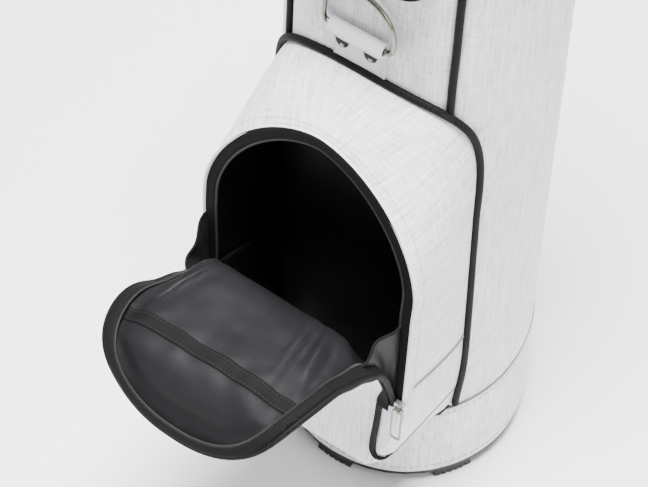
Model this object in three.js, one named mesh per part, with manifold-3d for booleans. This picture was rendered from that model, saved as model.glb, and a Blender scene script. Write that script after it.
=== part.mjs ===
// Golf club bag with a zipped lower front pocket for shoes or balls, standing on its base.
// Millimetres, +Z up. The origin is the middle of the base on the ground, the pocket faces -Y.

import * as THREE from 'three';
import { mergeVertices } from 'three/addons/utils/BufferGeometryUtils.js';
import Module from 'manifold-3d';

const wasm = await Module();
wasm.setup();

// ---- driving dimensions -------------------------------------------------------------------

const GAP = 0.3;                    // clearance between touching pieces
const BAG_HEIGHT = 880;
const BASE_RADIUS = 110;
const TAPER = 0.0241;               // loss of barrel radius for each mm of height
const TAPER_END = 600;              // the barrel keeps its radius above this height
const FRONT_DEPTH = 103;             // from the axis to the flat front of the barrel
const FRONT_SQUARE = 3.5;             // exponent of the squarish front half of the barrel
const SQUARE_START = 110;           // height where the round base starts to turn squarish
const SQUARE_END = 230;
const SKIN = 2.8;                   // fabric and foam of a barrel panel
const SKIN_GAP = 0.8;
const TUBE_WALL = 2.4;
const PIPING = 2.9;                 // radius of the barrel piping
const SEAM_ANGLE = 37.2;              // of the two long pipings, from the middle of the front
const SEAM_HALF = 1.9;              // half of the angle that a long piping takes up

const RIM_BOTTOM = 12;              // height of the base moulding's rim above the ground
const RIM_TOP = 17;
const COLLAR_TOP = 110;
const FOOT_COUNT = 6;
const FOOT_ANGLE = 19;

const POCKET_BOTTOM = 118;
const POCKET_TOP = 513;             // height of the pocket's piping on the front of the barrel
const POCKET_ANGLE = 49.9;          // of the pocket's piping on the side of the barrel
const POCKET_BASE_ANGLE = 45;       // the same at the bottom of the pocket
const POCKET_CORNER = 118;          // height over which the piping turns from side to top
const POCKET_FRONT = 163.5;           // from the axis to the front of the pocket
const POCKET_HALF = 99.5;            // half width of the opening, outside its zipper tape
const POCKET_BASE_HALF = 77;        // half width of the pocket at its bottom
const POCKET_SEAM = 244;            // height of the seam round the lower part of the pocket
const FRONT_HALF = 70;              // half width of the lower front panel, to its piping
const BEND_RADIUS = 13;             // where the lower front panel turns under
const FABRIC = 2;
const POCKET_CLEAR = 2.7;           // from the barrel's panels to the back edge of the pocket

const FOLD_HEIGHT = 247;            // where the door folds outward
const RIDGE_HEIGHT = 357;           // where the door folds over on itself
const TIP_LENGTH = 97;              // from the ridge to the fold of the door's tip
const ARCH_BASE = 375;              // the opening is straight below this height
const ARCH_HEIGHT = 117.6;
const ARCH_EXPONENT = 1.72;
const LEAN = 4;                     // degrees that the opening leans back above the ridge
const FOLD_OPEN = 18;               // degrees that each fold of the door is open at rest
const RIDGE_OPEN = 72;
const TIP_OPEN = 66;
const DOOR_HALF = 89;               // half width of the door, to the middle of its piping
const DOOR_ARCH_BASE = 399;         // heights on the closed door
const DOOR_ARCH_HEIGHT = 104;
const DOOR_ARCH_EXPONENT = 2.2;
const DOOR_OUT = 4.6;               // the closed door lies this far in front of the opening
const TAPE_START = 2.4;             // insets from the edge of the opening
const TAPE_END = 10.4;
const DOOR_TAPE_START = 3.2;        // insets from the door's piping
const DOOR_TAPE_END = 10;
const DOOR_PIPING = 2.4;
const TAPE_THICK = 1;
const DOOR_THICK = 3;
const PULLER_LENGTH = 39;
const PULLER_HALF = 4.4;
const PULLER_WIRE = 0.9;

const RING_HEIGHT = 560;            // bar of the front D-ring
const RING_HALF = 29.5;
const RING_WIRE = 2.2;
const TAB_HALF = 23.5;
const TAB_RIVETS = [['left', -15], ['right', 9.5]];

const CUFF_BOTTOM = 792;
const MOUTH_BOTTOM = 866;
const LIFT_BOTTOM = 716;
const LIFT_TOP = 846;
const STRAP_BOTTOM = 250;
const STRAP_TOP = 690;
const UPPER_HALF = 56;              // half width of the upper pocket
const UPPER_HEIGHTS = [634, 764];
const UPPER_DEPTH = 26;

// ---- materials ----------------------------------------------------------------------------

const finish = (color, roughness, metalness = 0) =>
  new THREE.MeshStandardMaterial({ color, roughness, metalness });
const LOOK = {
  fabric: () => finish(0xdcdde0, 0.9),
  piping: () => finish(0x2a2a2d, 0.6),
  lining: () => finish(0x3a3a40, 0.6),
  tape: () => finish(0x2b2b2a, 0.8),
  plastic: () => finish(0x3c4141, 0.5),
  tube: () => finish(0x202224, 0.6),
  leather: () => finish(0xd9dadc, 0.5),
  nickel: () => finish(0x9a948c, 0.25, 1),
};

const bag = new THREE.Group();

function add(name, geometry, look, parent = bag) {
  const mesh = new THREE.Mesh(geometry, LOOK[look]());
  mesh.name = name;
  parent.add(mesh);
  return mesh;
}

// ---- geometry helpers ---------------------------------------------------------------------

const rad = THREE.MathUtils.degToRad;
const V = (x, y, z) => new THREE.Vector3(x, y, z);
const steps = (from, to, count) =>
  Array.from({ length: count + 1 }, (_, i) => from + (to - from) * i / count);
const mix = THREE.MathUtils.lerp;

function signedVolume(position, index) {
  const [a, b, c] = [V(), V(), V()];
  let sum = 0;
  for (let i = 0; i < index.length; i += 3) {
    a.fromArray(position, 3 * index[i]);
    b.fromArray(position, 3 * index[i + 1]);
    c.fromArray(position, 3 * index[i + 2]);
    sum += a.dot(b.cross(c));
  }
  return sum;
}

// A closed solid through a row of rings, which all have the same even number of points.
// The two halves of a ring are split along matching diagonals, so a sheet keeps its thickness.
function loft(rings, closed = false) {
  const n = rings[0].length;
  const index = [];
  const quad = (a, b, c, d) => index.push(a, b, c, a, c, d);
  const count = closed ? rings.length : rings.length - 1;
  for (let j = 0; j < count; j++) {
    const k = (j + 1) % rings.length;
    for (let i = 0; i < n; i++) {
      const m = (i + 1) % n;
      const corners = [j * n + i, j * n + m, k * n + m, k * n + i];
      if (i >= n / 2) corners.push(corners.shift());
      quad(...corners);
    }
  }
  if (!closed) {
    const last = (rings.length - 1) * n;
    for (let i = 0; i < n / 2 - 1; i++) {
      const cap = [i, i + 1, n - 2 - i, n - 1 - i];
      quad(...cap.toReversed());
      quad(...cap.map((v) => v + last));
    }
  }
  const position = rings.flat().flatMap((p) => p.toArray());
  if (signedVolume(position, index) < 0) index.reverse();
  const geometry = new THREE.BufferGeometry();
  geometry.setAttribute('position', new THREE.Float32BufferAttribute(position, 3));
  geometry.setIndex(index);
  return geometry;
}

// A sheet of even thickness behind a grid of points. Rows are lists of points.
function sheet(rows, thickness) {
  const at = (list, i) => list[THREE.MathUtils.clamp(i, 0, list.length - 1)];
  const normal = (j, i) => {
    const along = at(rows, j + 1)[i].clone().sub(at(rows, j - 1)[i]);
    const across = at(rows[j], i + 1).clone().sub(at(rows[j], i - 1));
    return across.cross(along).normalize();
  };
  return loft(rows.map((row, j) => {
    const back = row.map((p, i) => p.clone().addScaledVector(normal(j, i), thickness));
    return [...row, ...back.reverse()];
  }));
}

// A round cord of the given radius along a list of points.
function cord(points, radius, sides = 8, closed = false) {
  const n = points.length;
  const rings = points.map((p, j) => {
    const before = points[closed ? (j + n - 1) % n : Math.max(j - 1, 0)];
    const after = points[closed ? (j + 1) % n : Math.min(j + 1, n - 1)];
    return { p, t: after.clone().sub(before).normalize() };
  });
  let side = V(0.31, 0.83, 0.47).cross(rings[0].t).normalize();
  return loft(rings.map(({ p, t }) => {
    side = side.addScaledVector(t, -side.dot(t)).normalize().clone();
    const up = t.clone().cross(side);
    return Array.from({ length: sides }, (_, i) => {
      const a = 2 * Math.PI * i / sides;
      return p.clone()
        .addScaledVector(side, radius * Math.cos(a))
        .addScaledVector(up, radius * Math.sin(a));
    });
  }), closed);
}

// A flat cord loop keeps its rings square to its own plane, so it closes without a twist.
function loop(points, radius, axis, sides = 8) {
  const n = points.length;
  return loft(points.map((p, j) => {
    const t = points[(j + 1) % n].clone().sub(points[(j + n - 1) % n]).normalize();
    const out = t.clone().cross(axis).normalize();
    return Array.from({ length: sides }, (_, i) => {
      const a = 2 * Math.PI * (i + 0.5) / sides;
      return p.clone()
        .addScaledVector(out, radius * Math.cos(a))
        .addScaledVector(axis, radius * Math.sin(a));
    });
  }), true);
}

function toSolid(geometry) {
  const bare = geometry.clone();
  bare.deleteAttribute('normal');
  bare.deleteAttribute('uv');
  const merged = mergeVertices(bare, 1e-4);
  return new wasm.Manifold(new wasm.Mesh({
    numProp: 3,
    vertProperties: Float32Array.from(merged.attributes.position.array),
    triVerts: Uint32Array.from(merged.index.array),
  }));
}

function toGeometry(solid) {
  const mesh = solid.getMesh();
  const geometry = new THREE.BufferGeometry();
  geometry.setAttribute('position', new THREE.BufferAttribute(mesh.vertProperties, 3));
  geometry.setIndex(new THREE.BufferAttribute(mesh.triVerts, 1));
  return geometry;
}

const joined = (...parts) => toGeometry(parts.map(toSolid).reduce((a, b) => a.add(b)));
const cutFrom = (part, ...cuts) =>
  toGeometry(cuts.map(toSolid).reduce((a, b) => a.subtract(b), toSolid(part)));
const block = (x, y, z, at = [0, 0, 0]) => new THREE.BoxGeometry(x, y, z).translate(...at);

// ---- shape of the barrel ------------------------------------------------------------------

// Distance from the axis at an angle from the front, in degrees, and a height.
function barrelRadius(angle, z) {
  const round = BASE_RADIUS - TAPER * Math.min(z, TAPER_END);
  const c = Math.cos(rad(angle));
  if (c <= 0) return round;
  const w = THREE.MathUtils.smoothstep(z, SQUARE_START, SQUARE_END);
  const depth = mix(round, FRONT_DEPTH, w);
  const n = mix(2, FRONT_SQUARE, w);
  const s = Math.abs(Math.sin(rad(angle)));
  return ((s / round) ** n + (c / depth) ** n) ** (-1 / n);
}

function onBarrel(angle, z, out = 0) {
  const r = barrelRadius(angle, z) + out;
  return V(r * Math.sin(rad(angle)), -r * Math.cos(rad(angle)), z);
}

const FRONT_ANGLES = steps(-SEAM_ANGLE + SEAM_HALF, SEAM_ANGLE - SEAM_HALF, 6);
const SIDE_ANGLES = [SEAM_ANGLE + SEAM_HALF, 45, 51, 58, 68, 80];
const REAR_ANGLES = [
  ...SIDE_ANGLES,
  ...steps(92, 268, 14),
  ...SIDE_ANGLES.map((a) => 360 - a).reverse(),
];
const ALL_ANGLES = [...FRONT_ANGLES, ...REAR_ANGLES];
const TURNING_HEIGHTS = [135, 160, 185, 205, SQUARE_END];
const PANEL_HEIGHTS = [COLLAR_TOP + GAP, ...TURNING_HEIGHTS, TAPER_END, CUFF_BOTTOM - GAP];

// A band round the barrel, or part of the way round it.
function band(angles, heights, outer, inner, closed = false) {
  return loft(angles.map((a) => [
    ...heights.map((z) => onBarrel(a, z, outer)),
    ...heights.toReversed().map((z) => onBarrel(a, z, inner)),
  ]), closed);
}

// ---- barrel and base ----------------------------------------------------------------------

function addBarrel() {
  const tubeOut = -SKIN - SKIN_GAP;
  const tubeHeights = [RIM_TOP + GAP, ...PANEL_HEIGHTS, MOUTH_BOTTOM - GAP];
  add('barrel_tube', band(ALL_ANGLES, tubeHeights, tubeOut, tubeOut - TUBE_WALL, true), 'tube');
  add('front_panel', band(FRONT_ANGLES, PANEL_HEIGHTS, 0, -SKIN), 'fabric');
  add('rear_panel', band(REAR_ANGLES, PANEL_HEIGHTS, 0, -SKIN), 'fabric');
  const collar = [RIM_TOP + GAP, COLLAR_TOP];
  add('base_collar', band(ALL_ANGLES, collar, 0.5, -SKIN, true), 'fabric');
  for (const [name, side] of [['left', -1], ['right', 1]]) {
    const line = [POCKET_TOP + 5, 640, CUFF_BOTTOM - 2]
      .map((z) => onBarrel(side * SEAM_ANGLE, z, 0.3));
    add(`panel_piping_${name}`, cord(line, PIPING), 'piping');
  }
}

function addBase() {
  const inside = BASE_RADIUS - SKIN - SKIN_GAP - TUBE_WALL - 2;
  const profile = [
    [0, 0], [26, 0], [29, 9], [96, 9], [103, RIM_BOTTOM], [BASE_RADIUS + 0.5, RIM_BOTTOM],
    [BASE_RADIUS + 0.5, RIM_TOP], [inside, RIM_TOP], [inside, 45],
    [inside - 3, 45], [inside - 3, 14], [0, 14],
  ];
  const points = profile.map(([r, z]) => new THREE.Vector2(r, z));
  const turned = new THREE.LatheGeometry(points, 40).rotateX(Math.PI / 2);
  add('base_moulding', toGeometry(toSolid(turned)), 'plastic');
  for (let i = 0; i < FOOT_COUNT; i++) {
    const middle = 360 * i / FOOT_COUNT;
    const foot = loft(steps(-FOOT_ANGLE / 2, FOOT_ANGLE / 2, 4).map((a) => {
      const at = (r, z) => V(r * Math.sin(rad(a)), -r * Math.cos(rad(a)), z);
      return [at(103.3, RIM_BOTTOM - GAP), at(107.5, RIM_BOTTOM - GAP), at(108.5, 0), at(95, 0)];
    }));
    const grooves = [-6, -3, 0, 3, 6].map((a) =>
      block(1.6, 6, 7, [0, -110.5, 3]).rotateZ(rad(a)));
    add(`foot_${i + 1}`, cutFrom(foot, ...grooves), 'plastic').rotation.z = rad(middle);
  }
}

// ---- shape of the pocket ------------------------------------------------------------------

const frontY = (z) => -POCKET_FRONT + Math.max(z - RIDGE_HEIGHT, 0) * Math.tan(rad(LEAN));

const OPENING = {
  half: POCKET_HALF, base: ARCH_BASE, height: ARCH_HEIGHT, exponent: ARCH_EXPONENT,
};
const DOOR = {
  half: DOOR_HALF, base: DOOR_ARCH_BASE, height: DOOR_ARCH_HEIGHT, exponent: DOOR_ARCH_EXPONENT,
};

// A point of the arch of an outline, moved inward by the inset, square to the edge.
function archPoint({ half, base, height, exponent }, angle, inset) {
  const power = (v, p) => Math.sign(v) * Math.abs(v) ** p;
  const x = half * power(Math.cos(angle), 2 / exponent);
  const z = height * power(Math.sin(angle), 2 / exponent);
  const slope = new THREE.Vector2(
    power(x / half, exponent - 1) / half,
    power(z / height, exponent - 1) / height,
  ).normalize();
  return new THREE.Vector2(x - inset * slope.x, base + z - inset * slope.y);
}

const ARCH_ANGLES = steps(0, 180, 20).map(rad);

// An outline: up the right leg, over the arch and down the left leg.
function archEdge(shape, inset, from) {
  const leg = shape.half - inset;
  const arch = ARCH_ANGLES.map((a) => archPoint(shape, a, inset));
  const rise = [from, mix(from, RIDGE_HEIGHT, 0.5), RIDGE_HEIGHT];
  return [
    ...rise.map((z) => new THREE.Vector2(leg, z)),
    ...arch,
    ...rise.toReversed().map((z) => new THREE.Vector2(-leg, z)),
  ];
}

// Where the pocket meets the barrel, from 0 at the lower right, over the top, to 1 at the left.
function attachment(t, out, from = POCKET_SEAM) {
  const u = Math.abs(2 * t - 1);
  const side = Math.sign(0.5 - t);
  const turn = POCKET_TOP - POCKET_CORNER;
  const cornerStart = 0.52;
  if (u > cornerStart) {
    const z = mix(turn, from, (u - cornerStart) / (1 - cornerStart));
    return onBarrel(side * pocketAngle(z), z, out);
  }
  const a = Math.PI / 2 * u / cornerStart;
  const squarer = 0.62;
  const angle = POCKET_ANGLE * Math.sin(a) ** squarer;
  return onBarrel(side * angle, turn + POCKET_CORNER * Math.cos(a) ** squarer, out);
}

function pocketAngle(z) {
  const w = THREE.MathUtils.clamp((z - POCKET_BOTTOM) / (POCKET_SEAM - POCKET_BOTTOM), 0, 1);
  return mix(POCKET_BASE_ANGLE, POCKET_ANGLE, Math.sqrt(w));
}

// Half width of the pocket below its seam, which draws in towards the bottom.
function sideHalf(z) {
  const w = THREE.MathUtils.clamp((z - POCKET_BOTTOM) / (POCKET_SEAM - POCKET_BOTTOM), 0, 1);
  return mix(POCKET_BASE_HALF, POCKET_HALF, Math.sin(w * Math.PI / 2));
}

// ---- pocket -------------------------------------------------------------------------------

function addGusset() {
  const edge = archEdge(OPENING, 0, POCKET_SEAM + GAP);
  const rows = edge.map((e, j) => {
    const back = attachment(j / (edge.length - 1), POCKET_CLEAR, POCKET_SEAM + GAP);
    const front = V(e.x, frontY(e.y), e.y);
    return [0, 0.35, 0.7, 1].map((w) => back.clone().lerp(front, w));
  });
  add('gusset', sheet(rows, FABRIC), 'fabric');
}

function addLowerPocket() {
  const corner = 9;
  const heights = steps(POCKET_BOTTOM, POCKET_SEAM, 6);
  for (const [name, side] of [['left', -1], ['right', 1]]) {
    const rows = heights.map((z) => {
      const half = sideHalf(z);
      const under = Math.max(POCKET_BOTTOM + BEND_RADIUS - z, 0);
      const tuck = BEND_RADIUS - Math.sqrt(BEND_RADIUS ** 2 - under ** 2);
      const y = -POCKET_FRONT + tuck;
      const back = onBarrel(pocketAngle(z), z, POCKET_CLEAR);
      const wall = V(half, y + corner, z);
      const row = [
        back,
        back.clone().lerp(wall, 0.5),
        wall,
        V(half - corner * 0.3, y + corner * 0.3, z),
        V(half - corner, y, z),
        V(Math.min(FRONT_HALF + PIPING + GAP, half - corner - 1), y, z),
      ];
      return row.map((p) => V(side * p.x, p.y, p.z));
    });
    add(`gusset_base_${name}`, sheet(rows, side * FABRIC), 'fabric');
  }
}

function addFrontBase() {
  const top = FOLD_HEIGHT - 1.5;
  const half = FRONT_HALF - PIPING - GAP;
  const turn = steps(0, 90, 5).map((a) => V(
    0,
    -POCKET_FRONT + BEND_RADIUS * (1 - Math.cos(rad(a))),
    POCKET_BOTTOM + BEND_RADIUS * (1 - Math.sin(rad(a))),
  ));
  const line = [V(0, -POCKET_FRONT, top), ...turn];
  const xs = [-half, 0, half];
  const rows = line.map((p) => xs.map((x) => V(x, p.y, p.z)));
  add('front_base_panel', sheet(rows, -FABRIC), 'fabric');
  for (const [name, side] of [['left', -1], ['right', 1]]) {
    const path = [V(0, -POCKET_FRONT, FOLD_HEIGHT - 12), ...turn.slice(0, -1)]
      .map((p) => V(side * FRONT_HALF, p.y - 0.4, p.z));
    add(`corner_piping_${name}`, cord(path, PIPING - 0.2), 'piping');
  }
}

function addPocketFloor() {
  const z = POCKET_BOTTOM;
  const half = POCKET_BASE_HALF - FABRIC - 8;
  const xs = steps(-half, half, 8);
  const front = -POCKET_FRONT + BEND_RADIUS + GAP + 0.5;
  const rows = xs.map((x) => {
    const angle = THREE.MathUtils.radToDeg(Math.asin(x / (BASE_RADIUS + 2)));
    const back = onBarrel(angle, z, 2);
    return [V(x, back.y, z), V(x, front, z)];
  });
  add('pocket_floor', sheet(rows, -FABRIC), 'lining');
}

function addPocketTrim() {
  const line = steps(0, 1, 44).map((t) => attachment(t, PIPING + 1, POCKET_BOTTOM + 4));
  const spread = line.map((p) => {
    const out = V(p.x, p.y, 0).normalize();
    const up = THREE.MathUtils.smoothstep(p.z, POCKET_TOP - POCKET_CORNER, POCKET_TOP);
    const away = V(-out.y, out.x, 0).multiplyScalar(Math.sign(p.x) * (1 - up));
    return p.clone().addScaledVector(away.setZ(up), PIPING + 3);
  });
  add('pocket_piping', cord(spread, PIPING), 'piping');
  const heights = [...TURNING_HEIGHTS, 455];
  const angles = [-45, -SEAM_ANGLE - SEAM_HALF, ...FRONT_ANGLES, SEAM_ANGLE + SEAM_HALF, 45];
  add('pocket_back_lining', band(angles, heights, 1.6, 0.6), 'lining');
  const rows = (inset) => archEdge(OPENING, inset, FOLD_HEIGHT + 2)
    .map((e) => V(e.x, frontY(e.y), e.y));
  const outer = rows(TAPE_START);
  const inner = rows(TAPE_END);
  add('fixed_tape', sheet(outer.map((p, j) => [p, inner[j]]), TAPE_THICK), 'tape');
}

// ---- door ---------------------------------------------------------------------------------

// Every length of the door is drawn closed, with the hinge line of its own part at the origin.
const door = new THREE.Group();
const flap = new THREE.Group();
const tip = new THREE.Group();

function addDoor() {
  door.position.set(0, -POCKET_FRONT - DOOR_OUT, FOLD_HEIGHT);
  door.rotation.x = rad(FOLD_OPEN);
  flap.position.set(0, 0, RIDGE_HEIGHT - FOLD_HEIGHT);
  flap.rotation.x = rad(RIDGE_OPEN);
  tip.position.set(0, 0, TIP_LENGTH);
  tip.rotation.x = rad(TIP_OPEN);
  bag.add(door);
  door.add(flap);
  flap.add(tip);

  const lower = RIDGE_HEIGHT - FOLD_HEIGHT;
  addDoorPart('lower', door, (e) => e.y - FOLD_HEIGHT, lower);
  addDoorPart('flap', flap, (e) => e.y - RIDGE_HEIGHT, TIP_LENGTH);
  addDoorPart('tip', tip, (e) => e.y - RIDGE_HEIGHT - TIP_LENGTH, null);
}

// Heights are measured up the closed door. The part ends at its length, or at the arch.
function addDoorPart(name, parent, height, length) {
  const isTip = length === null;
  const edge = (inset) => archEdge(DOOR, inset, FOLD_HEIGHT)
    .filter((e) => e.x >= 0)
    .map((e) => new THREE.Vector2(e.x, height(e)));
  const halfAt = (h, inset) => {
    const line = edge(inset);
    const i = line.findIndex((p, k) => k > 0 && p.y >= h - 1e-9);
    if (i < 0) return 0;
    const [a, b] = [line[i - 1], line[i]];
    return mix(a.x, b.x, b.y > a.y ? (h - a.y) / (b.y - a.y) : 1);
  };
  // A tip takes more steps near its rounded end.
  const levels = (inset, margin, blunt) => {
    const end = isTip ? edge(inset).at(-1).y - blunt : length - margin;
    return steps(0, 1, isTip ? 7 : 4)
      .map((w) => mix(margin, end, isTip ? Math.sin(w * Math.PI / 2) : w));
  };

  const inset = DOOR_PIPING + GAP;
  const panel = levels(inset, 0.5, 0.8).map((h) => {
    const half = Math.max(halfAt(h, inset), 1);
    return [-half, 0, half].map((x) => V(x, 0, h));
  });
  add(`door_${name}`, sheet(panel, -DOOR_THICK), 'fabric', parent);

  const run = (from, y, margin) =>
    levels(from, margin, 0).map((h) => V(halfAt(h, from), y, h));
  const mirrored = (points) => points.map((p) => V(-p.x, p.y, p.z));
  const sides = isTip ? [['', 0]] : [['_left', -1], ['_right', 1]];
  for (const [suffix, side] of sides) {
    const whole = (points) => {
      if (isTip) return [...points, ...mirrored(points.slice(0, -1).reverse())];
      return side < 0 ? mirrored(points) : points;
    };
    const piping = whole(run(0, DOOR_THICK / 2, 4.4));
    add(`door_piping_${name}${suffix}`, cord(piping, DOOR_PIPING, 6), 'piping', parent);
    const inside = DOOR_THICK + GAP;
    const outer = whole(run(DOOR_TAPE_START, inside, 3));
    const inner = whole(run(DOOR_TAPE_END, inside, 3));
    const tape = sheet(outer.map((p, k) => [p, inner[k]]), (side || 1) * TAPE_THICK);
    add(`door_tape_${name}${suffix}`, tape, 'tape', parent);
  }
}

function addDropStops() {
  const open = rad(FOLD_OPEN);
  const x = POCKET_HALF - TAPE_END - 6;
  const rise = RIDGE_HEIGHT - FOLD_HEIGHT - 8;
  for (const [name, side] of [['left', -1], ['right', 1]]) {
    const rows = steps(0.12, 1, 3).map((w) => {
      const h = w * rise;
      const fixed = V(side * x, -POCKET_FRONT + 4, FOLD_HEIGHT + h);
      const moving = V(
        side * x,
        -POCKET_FRONT + 4.5 - h * Math.sin(open),
        FOLD_HEIGHT + h * Math.cos(open),
      );
      return [fixed.clone().lerp(moving, 0.9), fixed];
    });
    add(`drop_stop_${name}`, sheet(rows, 0.8), 'lining');
  }
}

// ---- hardware -----------------------------------------------------------------------------

const slider = new THREE.Group();

function sliderBody() {
  const outline = [[-3, -7], [3, -7], [4.6, 1], [4.6, 6], [-4.6, 6], [-4.6, 1]];
  const shape = new THREE.Shape(outline.map(([x, z]) => new THREE.Vector2(x, z)));
  const plate = new THREE.ExtrudeGeometry(shape, { depth: 4.4, bevelEnabled: false })
    .rotateX(Math.PI / 2).translate(0, 2.2, 0);
  const bridge = [block(2.4, 3.6, 1.4, [0, -4, 3.4]), block(2.4, 3.6, 1.4, [0, -4, -3.4])];
  return joined(plate, ...bridge, block(2.4, 1.4, 8.2, [0, -6.4, 0]));
}

// The wire loop hangs from its top bar, which lies on the X axis.
function pullLoop(half, length, wire) {
  const corner = half - 0.5;
  const turn = (x, z, from) => steps(from, from + 90, 3)
    .map((a) => V(x + corner * Math.cos(rad(a)), 0, z + corner * Math.sin(rad(a))));
  const points = [
    ...turn(half - corner, -corner, 0),
    ...turn(corner - half, -corner, 90),
    ...turn(corner - half, corner - length, 180),
    ...turn(half - corner, corner - length, 270),
  ];
  return loop(points, wire, V(0, 1, 0), 6);
}

function addSlider() {
  slider.position.set(DOOR_HALF + 8.3, -POCKET_FRONT - 3.6, FOLD_HEIGHT - 1.5);
  bag.add(slider);
  add('slider', sliderBody(), 'nickel', slider);
  const puller = add('puller', pullLoop(PULLER_HALF, PULLER_LENGTH, PULLER_WIRE), 'nickel', slider);
  puller.position.set(0, -4, -0.2);
}

function addFrontRing() {
  const y = -FRONT_DEPTH - 7;
  const bend = 14;
  const arc = steps(0, 180, 14).map((a) =>
    V(RING_HALF * Math.cos(rad(a)), 0, bend + RING_HALF * Math.sin(rad(a))));
  const foot = 5;
  const low = (x, from) => steps(from, from + 90, 2).map((a) =>
    V(x + foot * Math.cos(rad(a)), 0, foot + foot * Math.sin(rad(a))));
  const path = [...arc, ...low(foot - RING_HALF, 180), ...low(RING_HALF - foot, 270)];
  const ring = add('d_ring', loop(path, RING_WIRE, V(0, 1, 0)), 'nickel');
  ring.position.set(0, y, RING_HEIGHT);

  const hole = RING_WIRE + 0.5;
  const roll = new THREE.CylinderGeometry(6.4, 6.4, 2 * TAB_HALF, 16)
    .rotateZ(Math.PI / 2).translate(0, y, RING_HEIGHT);
  const bottom = POCKET_TOP + 9;
  const height = RING_HEIGHT - bottom;
  const strap = block(2 * TAB_HALF - 2, 2.6, height, [0, -FRONT_DEPTH - 2.2, bottom + height / 2]);
  const bore = new THREE.CylinderGeometry(hole, hole, 80, 12)
    .rotateZ(Math.PI / 2).translate(0, y, RING_HEIGHT);
  const holder = joined(roll, strap);
  const rivetHoles = TAB_RIVETS.map(([, x]) => new THREE.CylinderGeometry(3, 3, 20, 12)
    .translate(x, -FRONT_DEPTH - 2.2, RING_HEIGHT - 21));
  add('ring_tab', cutFrom(holder, bore, ...rivetHoles), 'leather');
  for (const [name, x] of TAB_RIVETS) {
    const head = [[0, 0], [2.6, 0], [2.6, 2], [1.6, 3], [0, 3.2]]
      .map(([r, h]) => new THREE.Vector2(r, h));
    const rivet = toGeometry(toSolid(new THREE.LatheGeometry(head, 12)));
    const mesh = add(`tab_rivet_${name}`, rivet, 'nickel');
    mesh.rotation.x = Math.PI;
    mesh.position.set(x, -FRONT_DEPTH - 0.8, RING_HEIGHT - 21);
  }
}

// ---- top of the bag -----------------------------------------------------------------------

function addTop() {
  add('cuff', band(ALL_ANGLES, [CUFF_BOTTOM, MOUTH_BOTTOM - GAP], 2, -SKIN, true), 'fabric');
  const mouth = [MOUTH_BOTTOM, BAG_HEIGHT];
  add('mouth_ring', band(ALL_ANGLES, mouth, 3.5, -SKIN - SKIN_GAP - TUBE_WALL, true), 'plastic');

  const top = BAG_HEIGHT - 6;
  const depth = 22;
  const inset = -SKIN - SKIN_GAP - TUBE_WALL - 1.5;
  const outline = ALL_ANGLES.map((a) => onBarrel(a, top, inset));
  const shape = new THREE.Shape(outline.map((p) => new THREE.Vector2(p.x, p.y)));
  const bar = 5;
  for (const start of [0, 90, 180, 270]) {
    const cell = steps(start + 5, start + 85, 8).map((a) => onBarrel(a, top, inset - 7));
    const fromBars = cell.map((p) => new THREE.Vector2(
      Math.sign(p.x) * Math.max(Math.abs(p.x), bar),
      Math.sign(p.y) * Math.max(Math.abs(p.y), bar),
    ));
    const middle = onBarrel(start + 45, top);
    fromBars.push(new THREE.Vector2(Math.sign(middle.x) * bar, Math.sign(middle.y) * bar));
    shape.holes.push(new THREE.Path(fromBars));
  }
  const divider = new THREE.ExtrudeGeometry(shape, { depth, bevelEnabled: false });
  add('club_divider', toGeometry(toSolid(divider)), 'plastic').position.z = top - depth;
}

// A band that runs up the back of the barrel and stands off it. stand gives how far, from
// 0 at the lower end of the whole run to 1 at its upper end.
function standing(heights, stand, width, thickness) {
  const rows = heights.map((z) => {
    const p = onBarrel(180, z, stand(z));
    return [V(-width / 2, p.y, z), V(width / 2, p.y, z)];
  });
  return sheet(rows, -thickness);
}

function addCarrying() {
  const bow = (from, to, low, rise) => (z) =>
    low + rise * Math.sin(Math.PI * (z - from) / (to - from)) ** 0.7;
  const lift = bow(LIFT_BOTTOM, LIFT_TOP, 3, 28);
  add('lift_handle', standing(steps(LIFT_BOTTOM, LIFT_TOP, 12), lift, 30, 4), 'leather');
  const strap = bow(STRAP_BOTTOM, STRAP_TOP, 3, 46);
  const pad = [STRAP_BOTTOM + 130, STRAP_TOP - 90];
  const web = (from, to) => standing(steps(from, to, 7), strap, 38, 2.6);
  add('strap_web_lower', web(STRAP_BOTTOM, pad[0] - GAP), 'piping');
  add('strap_web_upper', web(pad[1] + GAP, STRAP_TOP), 'piping');
  add('strap_pad', standing(steps(...pad, 8), strap, 62, 12), 'fabric');
  for (const [name, z] of [['lower', STRAP_BOTTOM], ['upper', STRAP_TOP]]) {
    const end = onBarrel(180, z, 1.6);
    add(`strap_anchor_${name}`, block(50, 2.2, 34, [0, end.y, z]), 'leather');
  }
}

// A small padded pocket high on the front, with a zipper across it.
function addUpperPocket() {
  const half = UPPER_HALF;
  const [low, high] = UPPER_HEIGHTS;
  const deep = FRONT_DEPTH + UPPER_DEPTH;
  const corner = 14;
  const rows = [
    [low, deep - 9, half - 4], [low + 6, deep, half], [high - 46, deep, half],
    [high - 8, deep - 12, half], [high, deep - 22, half - 4],
  ].map(([z, y, x]) => {
    const back = -FRONT_DEPTH - 0.8;
    const outline = [[-x, back], [-x, corner - y], [corner - x, -y]];
    const right = outline.toReversed().map(([px, py]) => [-px, py]);
    return [...outline, ...right].map(([px, py]) => V(px, py, z));
  });
  add('upper_pocket', loft(rows), 'fabric');
  const y = -deep - 0.8;
  const z = high - 52;
  add('upper_tape', block(2 * half - 34, 1, 15, [0, y, z]), 'tape');
  const pull = new THREE.Group();
  pull.position.set(UPPER_HALF - 24, y - 3.2, z);
  bag.add(pull);
  add('upper_slider', sliderBody().rotateY(-Math.PI / 2), 'nickel', pull);
  const lying = pullLoop(PULLER_HALF, 34, PULLER_WIRE).rotateY(Math.PI / 2);
  add('upper_puller', lying, 'nickel', pull).position.set(0.2, -4, 0);
}

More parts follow.
